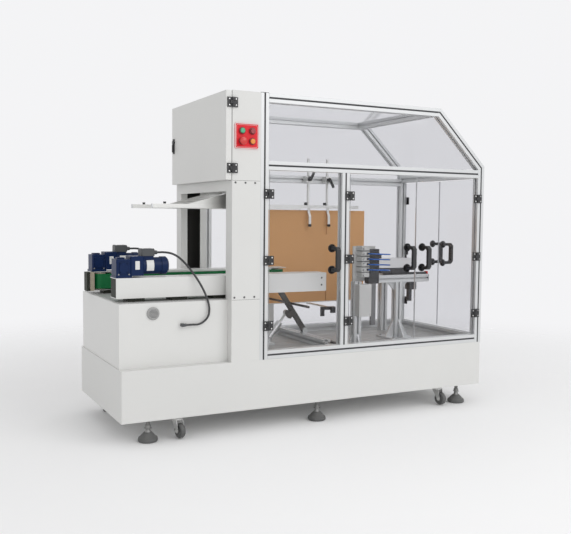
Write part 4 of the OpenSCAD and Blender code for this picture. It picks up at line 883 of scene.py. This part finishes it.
@dataclass
class Guard:
    """Slotted-profile guard: slot strips, post caps, hinge screws and grey rims that paint the shade on the
    edges of the clear doors.
    """

    bar: float = 40.0
    left_x: float = 642.0
    mid_x: float = 1060.0
    right_x: float = 1866.0
    front_y: float = 20.0
    back_y: float = 686.0
    low_z: float = 338.0
    mid_z: float = 1177.0
    back_z: float = 1157.0
    top_z: float = 1470.0
    knee: Flat = (1595.0, 1470.0)
    slope: float = 44.0
    knee_trim: float = 6.0
    knee_top_trim: float = 10.0
    strip_w: float = 7.6
    strip_t: float = 3.0
    strip_crown: float = 0.6
    strip_shoulder: float = 0.7
    sink: float = 0.7
    cap_less: float = 1.0
    cap_t: float = 2.0
    cap_corner: float = 2.5
    hinge_gap: float = 1.0
    hinge_heights: tuple[float, ...] = (469.0, 759.0, 1052.0)
    doors: tuple[str, ...] = (
        "front_door_left", "front_door_middle", "front_door_right", "end_door_front", "end_door_rear")
    edge_in: float = 0.3
    edge_over: float = 1.0
    edge_corner: float = 0.9
    edge_play: float = 0.1
    edge_inner_corner: float = 0.5

    def dress(self) -> None:
        """Adds everything the guard carries."""
        self._strips()
        self._hinge_screws()
        self._caps()
        self._door_edges()

    def _door_edges(self) -> None:
        """Paints shade on the sawn edges of the clear doors with grey rims, since the edges look darker than
        the faces.
        """
        for door in self.doors:
            low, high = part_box(door)
            size = (high - low) / MM
            out = Facing.RIGHT if size.x < size.y else Facing.FRONT
            wide, tall, thick = (size.z, size.y, size.x) if out is Facing.RIGHT else (size.x, size.z, size.y)
            depth = thick - 2 * self.edge_in
            outer = rounded_outline(wide + self.edge_over, tall + self.edge_over, self.edge_corner, 2)
            inner = rounded_outline(wide + self.edge_play, tall + self.edge_play, self.edge_inner_corner, 2)
            shape = Shape(door + "_edges")
            shape.ring_plate(outer, inner, depth, out.at((low + high) / 2 - out.out * depth / 2 * MM))
            shape.piece("edge_shade_grey", door, "clear_sheet")

    def _caps(self) -> None:
        """Closes the tops of the left posts with flat caps."""
        shape = Shape("post_caps")
        side = self.bar - self.cap_less
        for y in (self.front_y, self.back_y):
            place = Facing.UP.at(at(self.left_x, y, self.top_z + self.bar / 2))
            shape.plate(rounded_outline(side, side, self.cap_corner), self.cap_t, place)
        shape.piece("black_plastic")

    def _strip(self, shape: Shape, start: Vector, end: Vector, out: Vector) -> None:
        """Adds one strip in a slot.

        Args:
            shape: Shape that gathers the strips.
            start: Start of the strip, on the bar's centre line.
            end: End of the strip, on the same line.
            out: Way that the slot faces.
        """
        along = (end - start).normalized()
        lift = (self.bar / 2 - self.sink - self.strip_t) * MM
        turn = Matrix((out.cross(along), out, along)).transposed().to_4x4()
        w, t = self.strip_w / 2, self.strip_t
        crown, shoulder = w * self.strip_crown, t * self.strip_shoulder
        section = [(-w, 0.0), (w, 0.0), (w, shoulder), (crown, t), (-crown, t), (-w, shoulder)]
        shape.plate(section, (end - start).length / MM, Matrix.Translation(start + out * lift) @ turn)

    def _strips(self) -> None:
        """Fills the slots on the outer faces with dark strips."""
        half, left, right, top = self.bar / 2, self.left_x, self.right_x, self.top_z
        low, first, last = self.low_z - half, left + half, right - half
        knee_x, knee_z = self.knee
        fall = knee_z - (right - knee_x) * math.tan(math.radians(self.slope))
        strips = []
        for y, out, mid in ((self.front_y, Facing.FRONT.out, self.mid_z),
                            (self.back_y, Facing.BACK.out, self.back_z)):
            strips += [
                (at(left, y, low), at(left, y, top + half), out),
                (at(right, y, low), at(right, y, fall), out),
                (at(right, y, low), at(right, y, fall), Facing.RIGHT.out),
                (at(first, y, self.low_z), at(last, y, self.low_z), out),
                (at(first, y, mid), at(last, y, mid), out),
                (at(first, y, top), at(knee_x - half / 2, y, top), out),
                (at(first, y, top), at(knee_x - half, y, top), Facing.UP.out)]
            start, end = at(knee_x, y, knee_z), at(right, y, fall)
            along = (end - start).normalized()
            for trim, way in ((self.knee_trim, out), (self.knee_top_trim, Vector((-along.z, 0.0, along.x)))):
                strips.append((start + along * trim * MM, end - along * trim * MM, way))
        front, back = self.front_y + half, self.back_y - half
        strips.append((at(self.mid_x, self.front_y, self.low_z + half),
                       at(self.mid_x, self.front_y, self.mid_z - half), Facing.FRONT.out))
        for z in (self.low_z, self.mid_z):
            strips.append((at(right, front, z), at(right, back, z), Facing.RIGHT.out))
        strips.append((at(left, front, top), at(left, back, top), Facing.UP.out))
        shape = Shape("slot_strips")
        for start, end, way in strips:
            self._strip(shape, start, end, way)
        shape.piece("dark_slot_fill", slot="black_plastic")

    def _hinge_screws(self) -> None:
        """Screws the hinge leaves to the posts and to the doors."""
        inner = self.bar / 2 + self.hinge_gap
        front = -HINGE.leaf_face
        end = self.right_x + self.bar / 2 + HINGE.leaf_face
        hinges = (
            ((self.left_x + inner, front), (1.0, 0.0), Facing.FRONT),
            ((self.mid_x + inner, front), (1.0, 0.0), Facing.FRONT),
            ((self.right_x - inner, front), (-1.0, 0.0), Facing.FRONT),
            ((end, self.front_y + inner), (0.0, 1.0), Facing.RIGHT),
            ((end, self.back_y - inner), (0.0, -1.0), Facing.RIGHT))
        fixed: list[Matrix] = []
        for door, (pin, (dx, dy), out) in zip(self.doors, hinges):
            fixed += HINGE.seats(pin, self.hinge_heights, (-dx, -dy), out)
            moving = HINGE.seats(pin, self.hinge_heights, (dx, dy), out)
            fasteners(door + "_hinge_screws", moving, Head.PAN, HINGE.screw_d, door)
        fasteners("post_hinge_screws", fixed, Head.PAN, HINGE.screw_d)


@dataclass
class Portal:
    """Portal and electrical cabinet: screws, seams, dark sheets of painted shade in the pillars and the
    control plate's rim and line.
    """

    pillar_screws: tuple[Flat, ...] = (
        (503.0, 1098.0), (550.0, 1098.0), (596.0, 1098.0), (500.0, 601.0), (547.0, 601.0), (595.0, 601.0))
    pillar_screw_d: float = 9.0
    depth: float = 706.0
    hinge_x: float = 487.0
    hinge_heights: Flat = (1159.0, 1438.0)
    plate_centre: Flat = (554.5, 1298.0)
    plate_size: Flat = (115.0, 111.0)
    plate_t: float = 3.0
    plate_corner: float = 9.0
    plate_lines: tuple[Flat, ...] = ((0.4, 3.4), (7.6, 1.0))
    line_t: float = 0.4
    line_corner: float = 7.0
    line_inner_corner: float = 6.0
    width: float = 135.0
    pillar_d: float = 66.0
    sheet: float = 3.0
    # Thickness, edge rounding and heights of the dark sheets that paint the shade inside the pillars.
    shade_sheet_t: float = 1.5
    shade_sheet_bevel: float = 0.4
    shade_sheet_z: Flat = (320.0, 1104.0)
    seam_heights: Flat = (590.0, 1107.0)
    seam_w: float = 1.2
    seam_in: float = 1.0
    seam_proud: float = 0.15
    seam_sunk: float = 0.1
    seam_bevel: float = 0.05

    def dress(self) -> None:
        """Adds everything the portal carries."""
        self._pillar_screws()
        self._hinge_screws()
        self._plate_line()
        self._painted_shade_sheets()
        self._seams()

    def _pillar_screws(self) -> None:
        """Screws the pillars to the sheets above and below them."""
        seats = [out.at(at(x, y, z)) for y, out in ((0.0, Facing.FRONT), (self.depth, Facing.BACK))
                 for x, z in self.pillar_screws]
        fasteners("pillar_screws", seats, Head.PAN, self.pillar_screw_d, finish="rivet_steel")

    def _hinge_screws(self) -> None:
        """Screws the cabinet's hinges to the cabinet and to its door."""
        pin = (self.hinge_x, -HINGE.leaf_face)
        for name, body, way in (("cabinet_hinge_screws", MACHINE, 1.0),
                                ("electrical_door_screws", "electrical_door", -1.0)):
            seats = HINGE.seats(pin, self.hinge_heights, (way, 0.0), Facing.FRONT)
            fasteners(name, seats, Head.PAN, HINGE.screw_d, body)

    def _plate_line(self) -> None:
        """Draws the pale rim and line round the control plate as thin inlays."""
        shape = Shape("control_plate_line")
        x, z = self.plate_centre
        place = Facing.FRONT.at(at(x, -self.plate_t, z))
        for inset, width in self.plate_lines:
            w, h = (side - 2 * inset for side in self.plate_size)
            corner = max(self.plate_corner - inset, self.line_corner)
            inner = max(corner - width, self.line_inner_corner)
            shape.ring_plate(rounded_outline(w, h, corner),
                             rounded_outline(w - 2 * width, h - 2 * width, inner), self.line_t, place)
        shape.piece("label_white", slot="white_paint")

    def _painted_shade_sheets(self) -> None:
        """Puts dark sheets in the hollow pillars as painted shade, for the shadow that fills the rear one.
        """
        shape = Shape("pillar_painted_shade")
        left, right = self.hinge_x + self.sheet, self.hinge_x + self.width - self.sheet
        low, high = self.shade_sheet_z
        for wall, lip in ((self.sheet, self.pillar_d - 2 * self.sheet),
                          (self.depth - self.sheet, self.depth - self.pillar_d + 2 * self.sheet)):
            inner = wall + (self.shade_sheet_t if lip > wall else -self.shade_sheet_t)
            for x0, x1, y0, y1 in ((left, right, wall, inner), (left, left + self.shade_sheet_t, inner, lip),
                                   (right - self.shade_sheet_t, right, inner, lip)):
                shape.slab(at(x0, min(y0, y1), low), at(x1, max(y0, y1), high), self.shade_sheet_bevel)
        shape.piece("painted_shade_sheet", slot="black_plastic")

    def _seams(self) -> None:
        """Draws the joints between the folded sheets on the front and the back."""
        shape = Shape("sheet_seams")
        left, right = self.hinge_x + self.seam_in, self.hinge_x + self.width - self.seam_in
        half = self.seam_w / 2
        for z in self.seam_heights:
            for y0, y1 in ((-self.seam_proud, self.seam_sunk),
                           (self.depth - self.seam_sunk, self.depth + self.seam_proud)):
                shape.slab(at(left, y0, z - half), at(right, y1, z + half), self.seam_bevel)
        shape.piece("seam", slot="dark_steel")


@dataclass
class Outfeed:
    """Outfeed end: cover screws, gearmotor bolts, lids and labels, guide ends and the vent's grille."""

    unit_y: float = 87.0
    lane_y: float = 340.0
    unit_top: float = 692.0
    cover_x: float = 985.0
    cover_zs: Flat = (635.0, 668.0)
    cover_screw_d: float = 9.0
    motor_y: float = 132.0
    motor_z: float = 740.0
    gear_x: float = 8.0
    gear_l: float = 62.0
    gear_w: float = 84.0
    bolt_in: float = 9.0
    bolt_up: float = 15.0
    bolt_d: float = 5.5
    lid_in: float = 17.0
    lid_proud: float = 4.0
    lid_zs: Flat = (716.0, 752.0)
    small_screw_d: float = 6.0
    adapter_x: float = 70.0
    adapter_l: float = 56.0
    adapter_w: float = 80.0
    motor_x: float = 126.0
    motor_l: float = 113.0
    motor_r: float = 39.0
    box_x: float = 148.0
    box_top: float = 810.0
    box_lid: Rounded = (55.0, 55.0, 6.0)
    box_lid_t: float = 3.0
    box_screw: float = 22.0
    gland_x: float = 178.0
    gland_z: float = 796.0
    gland_rings: tuple[Ring, ...] = (
        (10.8, 0.0, 6), (10.8, 6.0, 6), (8.8, 7.0, 0), (8.8, 13.0, 0), (7.36, 16.5, 0))
    cowl_slots: int = 10
    cowl_reach: float = 19.0
    cowl_slot: Rounded = (16.0, 4.0, 1.9)
    slot_t: float = 0.3
    label: Rounded = (19.0, 36.0, 2.0)
    label_z: float = 744.0
    label_t: float = 0.4
    wrap_x: float = 14.0
    wrap_w: float = 32.0
    wrap_in: float = 2.9
    wrap_angles: Flat = (-34.0, 42.0)
    wrap_steps: int = 10
    vent: Point = (149.0, 44.0, 544.0)
    vent_rings: tuple[Ring, ...] = (
        (27.4, 0.0, 0), (27.4, 3.4, 0), (24.5, 6.8, 0), (21.5, 8.0, 0), (20.8, 7.3, 0), (1.0, 7.3, 0))
    vent_reach: float = 19.5
    vent_side_slots: int = 3
    vent_pitch: float = 5.2
    vent_slot_w: float = 1.4
    vent_slot_corner: float = 0.6
    guide_x: float = 182.0
    guide_ys: Flat = (150.0, 450.0)
    guide_z: float = 996.0
    guide_plug: Rounded = (18.0, 16.0, 3.0)
    guide_plug_t: float = 4.0

    def dress(self) -> None:
        """Adds everything the outfeed end carries."""
        self._cover_screws()
        self._motor_bolts()
        self._lids()
        self._cowls()
        self._labels()
        self._vent()
        self._guide_ends()

    def _mirror(self, y: float) -> tuple[float, float]:
        """Gives a depth on the front unit and its like on the rear unit."""
        return y, 2 * self.lane_y - y

    def _cover_screws(self) -> None:
        """Screws the belt covers on at their inner ends."""
        faces = zip(self._mirror(self.unit_y), (Facing.FRONT, Facing.BACK))
        seats = [out.at(at(self.cover_x, y, z)) for y, out in faces for z in self.cover_zs]
        fasteners("cover_screws", seats, Head.PAN, self.cover_screw_d, finish="rivet_steel")

    def _gear_seats(self, inset: float, proud: float, heights: Iterable[float]) -> list[Matrix]:
        """Gives seats on both sides of the gearboxes.

        Args:
            inset: Distance of the seats from the gearbox's ends.
            proud: Distance of the seats beyond the gearbox's sides.
            heights: Heights of the seats.

        Returns:
            A frame on each seat.
        """
        half = self.gear_w / 2 + proud
        xs = (self.gear_x + inset, self.gear_x + self.gear_l - inset)
        return [out.at(at(x, centre + out.out.y * half, z)) for centre in self._mirror(self.motor_y)
                for out in (Facing.FRONT, Facing.BACK) for x in xs for z in heights]

    def _motor_bolts(self) -> None:
        """Bolts the gearboxes down and screws their lids on."""
        bolts = self._gear_seats(self.bolt_in, 0.0, (self.unit_top + self.bolt_up,))
        fasteners("gearbox_bolts", bolts, Head.HEX, self.bolt_d, finish="stem_steel")
        lids = self._gear_seats(self.lid_in, self.lid_proud, self.lid_zs)
        fasteners("gearbox_lid_screws", lids, Head.SOCKET, self.small_screw_d, finish="motor_paint",
                  slot="motor_paint")

    def _lids(self) -> None:
        """Closes the terminal boxes with screwed lids and puts lock nuts on their glands."""
        lids, nuts = Shape("terminal_lids"), Shape("gland_nuts")
        x, top = self.box_x, self.box_top + self.box_lid_t
        ways = (-self.box_screw, self.box_screw)
        screws = []
        for y in self._mirror(self.motor_y):
            lids.plate(rounded_outline(*self.box_lid), self.box_lid_t, Facing.UP.at(at(x, y, self.box_top)))
            screws += [Facing.UP.at(at(x + dx, y + dy, top)) for dx in ways for dy in ways]
            nuts.turned(self.gland_rings, Facing.RIGHT.at(at(self.gland_x, y, self.gland_z)))
        lids.piece("terminal_plastic")
        nuts.piece("terminal_plastic")
        fasteners("terminal_lid_screws", screws, Head.PAN, self.small_screw_d)

    def _cowls(self) -> None:
        """Lays dark plates on the ends of the fan cowls as painted shade in their open air slots."""
        shape = Shape("cowl_slots")
        outline = rounded_outline(*self.cowl_slot, 3)
        out = Matrix.Translation((self.cowl_reach * MM, 0.0, 0.0))
        for y in self._mirror(self.motor_y):
            end = Facing.RIGHT.at(at(self.motor_x + self.motor_l, y, self.motor_z))
            for k in range(self.cowl_slots):
                turn = Matrix.Rotation(math.tau * k / self.cowl_slots, 4, "Z")
                shape.plate(outline, self.slot_t, end @ turn @ out)
        shape.piece("dark_slot_fill", slot="black_plastic")

    def _labels(self) -> None:
        """Puts a blank label on each adapter and wraps one round each motor."""
        shape = Shape("motor_labels")
        low = self.motor_r - self.wrap_in
        high = low + self.label_t
        section = ((low, 0.0), (low, self.wrap_w), (high, self.wrap_w), (high, 0.0))
        first, last = (math.radians(a) for a in self.wrap_angles)
        angles = [first + (last - first) * k / self.wrap_steps for k in range(self.wrap_steps + 1)]
        for y in self._mirror(self.motor_y):
            face = at(self.adapter_x + self.adapter_l / 2, y - self.adapter_w / 2, self.label_z)
            shape.plate(rounded_outline(*self.label), self.label_t, Facing.FRONT.at(face))
            place = Matrix.Translation(at(self.motor_x + self.wrap_x, y, self.motor_z))
            shape.skin([shape.loop([(dx, -r * math.cos(a), r * math.sin(a)) for r, dx in section], place)
                        for a in angles])
        shape.piece("label_white", slot="white_paint")

    def _vent(self) -> None:
        """Covers the vent with a pale rim and dark plates that paint the shade in its slots."""
        place = Facing.FRONT.at(at(*self.vent))
        rim = Shape("vent_rim")
        rim.turned(self.vent_rings, place, steps=40)
        rim.piece("vent_grey", slot="terminal_plastic")
        slots = Shape("vent_slots")
        face = self.vent_rings[-1][1]
        for k in range(-self.vent_side_slots, self.vent_side_slots + 1):
            off = k * self.vent_pitch
            span = 2 * math.sqrt(self.vent_reach ** 2 - off ** 2)
            outline = rounded_outline(span, self.vent_slot_w, self.vent_slot_corner, 3)
            slots.plate(outline, self.slot_t, place @ Matrix.Translation((0.0, off * MM, face * MM)))
        slots.piece("dark_slot_fill", slot="black_plastic")

    def _guide_ends(self) -> None:
        """Plugs the open ends of the carton guides."""
        shape = Shape("guide_end_plugs")
        for y in self.guide_ys:
            place = Facing.LEFT.at(at(self.guide_x, y, self.guide_z))
            shape.plate(rounded_outline(*self.guide_plug), self.guide_plug_t, place)
        shape.piece("profile")


@dataclass
class Base:
    """Levelling feet and castors: threads, lock nuts, axle nuts and plate bolts."""

    foot_xs: tuple[float, ...] = (131.0, 953.0, 1785.0)
    castor_xs: tuple[tuple[str, float], ...] = (("left", 262.0), ("right", 1662.0))
    rows: tuple[tuple[str, float], ...] = (("front", 62.0), ("rear", 644.0))
    stem_r: float = 8.0
    thread_z: Flat = (53.0, 87.0)
    thread_root: float = 1.01
    thread_crest: float = 1.09
    pitch: float = 2.5
    nut_rings: tuple[Ring, ...] = (
        (14.95, 0.0, 0), (14.95, 2.0, 0), (13.0, 2.0, 6), (13.0, 12.0, 6), (11.44, 13.5, 0), (8.16, 13.5, 0))
    nut_z: float = 56.0
    turn: float = -78.0
    trail: float = 22.0
    axle_z: float = 34.5
    leg_face: float = 17.0
    axle_nut_d: float = 13.0
    plate_z: float = 96.0
    plate_bolt: float = 24.0
    plate_bolt_d: float = 9.0

    def dress(self) -> None:
        """Adds everything under the plinth."""
        self._threads()
        self._on_feet("foot_nuts", self.nut_rings, self.nut_z)
        self._castors()

    def _on_feet(self, name: str, rings: Sequence[Ring], z: float, steps: int = 24) -> None:
        """Puts a turned part on the stem of each foot.

        Args:
            name: Name of the piece.
            rings: Rings of the part.
            z: Height of its first ring.
            steps: Points round each ring.
        """
        shape = Shape(name)
        for x in self.foot_xs:
            for _, y in self.rows:
                shape.turned(rings, Facing.UP.at(at(x, y, z)), steps)
        shape.piece("stem_steel", slot="zinc_steel")

    def _threads(self) -> None:
        """Cuts threads on the stems of the feet."""
        start, end = self.thread_z
        rings: list[Ring] = []
        for k in range(int((end - start) / self.pitch)):
            rings += [(self.stem_r * self.thread_root, k * self.pitch, 0),
                      (self.stem_r * self.thread_crest, (k + 0.5) * self.pitch, 0)]
        self._on_feet("stem_threads", rings, start, steps=20)

    def _castors(self) -> None:
        """Puts nuts on the castor axles and bolts through the castor plates."""
        angle = math.radians(self.turn)
        axle = Vector((-math.sin(angle), math.cos(angle), 0.0))
        ways = (-self.plate_bolt, self.plate_bolt)
        bolts = []
        for side, x in self.castor_xs:
            for row, y in self.rows:
                hub = at(x + self.trail * math.cos(angle), y + self.trail * math.sin(angle), self.axle_z)
                fork = f"castor_fork_{row}_{side}"
                nuts = [frame_along(hub + axle * way * self.leg_face * MM, axle * way) for way in (-1, 1)]
                fasteners(fork + "_nuts", nuts, Head.HEX, self.axle_nut_d, fork)
                bolts += [Facing.DOWN.at(at(x + dx, y + dy, self.plate_z)) for dx in ways for dy in ways]
        fasteners("castor_plate_bolts", bolts, Head.HEX, self.plate_bolt_d)


@dataclass
class Station:
    """Pusher station and valves: arm end, cylinder screws and ports, hose fittings and foot bolts."""

    arm_end: float = 1743.0
    arm_y: float = 280.0
    arm_z: float = 635.0
    arm_cap: Rounded = (38.0, 38.0, 3.0)
    arm_cap_t: float = 4.0
    arm_knob: tuple[Ring, ...] = ((8.0, 4.0, 0), (8.0, 10.0, 0), (6.0, 13.0, 0), (1.0, 13.0, 0))
    rail_low: Point = (-4.0, -11.0, 20.0)
    rail_high: Point = (5.0, 11.0, 34.0)
    rail_bevel: float = 1.2
    cyl_x: Flat = (1412.0, 1624.0)
    cyl_z: Flat = (693.0, 743.0)
    cyl_screw: Flat = (23.0, 19.0)
    cyl_screw_d: float = 7.0
    port_in: float = 26.0
    port_out: float = 14.0
    port_rings: tuple[Ring, ...] = (
        (6.5, 0.0, 6), (6.5, 6.0, 6), (5.0, 7.0, 0), (5.0, 13.0, 0), (5.8, 14.5, 0), (5.8, 18.0, 0),
        (3.2, 18.5, 0))
    valve: Flat = (1212.0, 140.0)
    valve_front: float = 60.0
    valve_screw_xs: Flat = (-12.0, 43.0)
    valve_screw_zs: Flat = (480.0, 621.0)
    valve_screw_d: float = 6.0
    hose_d: float = 6.0
    hose_heights: tuple[float, ...] = (699.0, 725.0, 751.0, 777.0)
    hose_line: tuple[Point, ...] = (
        (41, -36, 0), (41, -45, 0), (41, -54, 0), (57, -74, 0), (91, -84, -1), (133, -78, -3),
        (159, -54, -5), (161, -26, -6), (149, -9, -6), (133, -6, -6), (125, -6, -6), (117, -6, -6))
    fitting_rings: tuple[Ring, ...] = (
        (5.8, 0.0, 6), (5.8, 4.0, 6), (4.8, 5.0, 0), (4.8, 9.0, 0), (4.0, 10.0, 0))
    feet: tuple[Point, ...] = ((1555.0, 280.0, 60.0), (1212.0, 140.0, 36.0))
    foot_top: float = 329.0
    foot_bolt_d: float = 13.0

    def dress(self) -> None:
        """Adds everything the station carries."""
        self._arm_end()
        self._cylinder()
        self._hoses()
        self._bolts()

    def _arm_end(self) -> None:
        """Closes the arm with a black cap and its slide rail with a red one."""
        cap = Shape("arm_end_cap")
        end = at(self.arm_end, self.arm_y, self.arm_z)
        cap.plate(rounded_outline(*self.arm_cap), self.arm_cap_t, Facing.RIGHT.at(end))
        cap.turned(self.arm_knob, Facing.RIGHT.at(end))
        cap.piece("black_plastic")
        red = Shape("rail_end_cap")
        red.slab(end + Vector(self.rail_low) * MM, end + Vector(self.rail_high) * MM, self.rail_bevel)
        red.piece("cap_red", slot="red_plate")

    def _cylinder(self) -> None:
        """Puts screws in the cylinder's ends and fittings in its ports."""
        middle = sum(self.cyl_z) / 2
        dy, dz = self.cyl_screw
        ends = zip(self.cyl_x, (Facing.LEFT, Facing.RIGHT))
        seats = [out.at(at(x, self.arm_y + y, middle + z))
                 for x, out in ends for y in (-dy, dy) for z in (-dz, dz)]
        fasteners("cylinder_screws", seats, Head.SOCKET, self.cyl_screw_d)
        ports = Shape("cylinder_ports")
        for x in (self.cyl_x[0] + self.port_in, self.cyl_x[1] - self.port_in):
            ports.turned(self.port_rings, Facing.UP.at(at(x, self.arm_y - self.port_out, self.cyl_z[1])))
        ports.piece("black_plastic")

    def _hoses(self) -> None:
        """Lays the air hoses smoothly, with a fitting at each end."""
        x, y = self.valve
        lines = [smooth_route([at(x + p[0], y + p[1], z + p[2]) for p in self.hose_line])
                 for z in self.hose_heights]
        made = tube_curve("hoses", lines, self.hose_d, "air_hose")
        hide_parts("air_hoses")
        shape = Shape("hose_fittings")
        for line in lines:
            for spot, out in ((line[0], Facing.FRONT), (line[-1], Facing.RIGHT)):
                shape.turned(self.fitting_rings, out.at(spot), steps=18)
        shape.piece("black_plastic")

    def _bolts(self) -> None:
        """Bolts the feet of the posts down and closes the box under the valves."""
        bolts = [Facing.UP.at(at(x + sx * reach, y + sy * reach, self.foot_top))
                 for x, y, reach in self.feet for sx in (-1, 1) for sy in (-1, 1)]
        fasteners("station_foot_bolts", bolts, Head.HEX, self.foot_bolt_d)
        x, y = self.valve
        screws = [Facing.FRONT.at(at(x + dx, y - self.valve_front, z))
                  for dx in self.valve_screw_xs for z in self.valve_screw_zs]
        fasteners("valve_box_screws", screws, Head.PAN, self.valve_screw_d)


def main() -> None:
    """Builds the scene in order."""
    logging.basicConfig(level=logging.INFO, format="%(name)s %(message)s")
    Stage().build()
    for cable in (FRONT_CABLE, REAR_CABLE):
        cable.build()
    Nodes().dress()
    for assembly in (Base(), Guard(), Portal(), Outfeed(), Station()):
        assembly.dress()


if __name__ == "__main__":
    main()
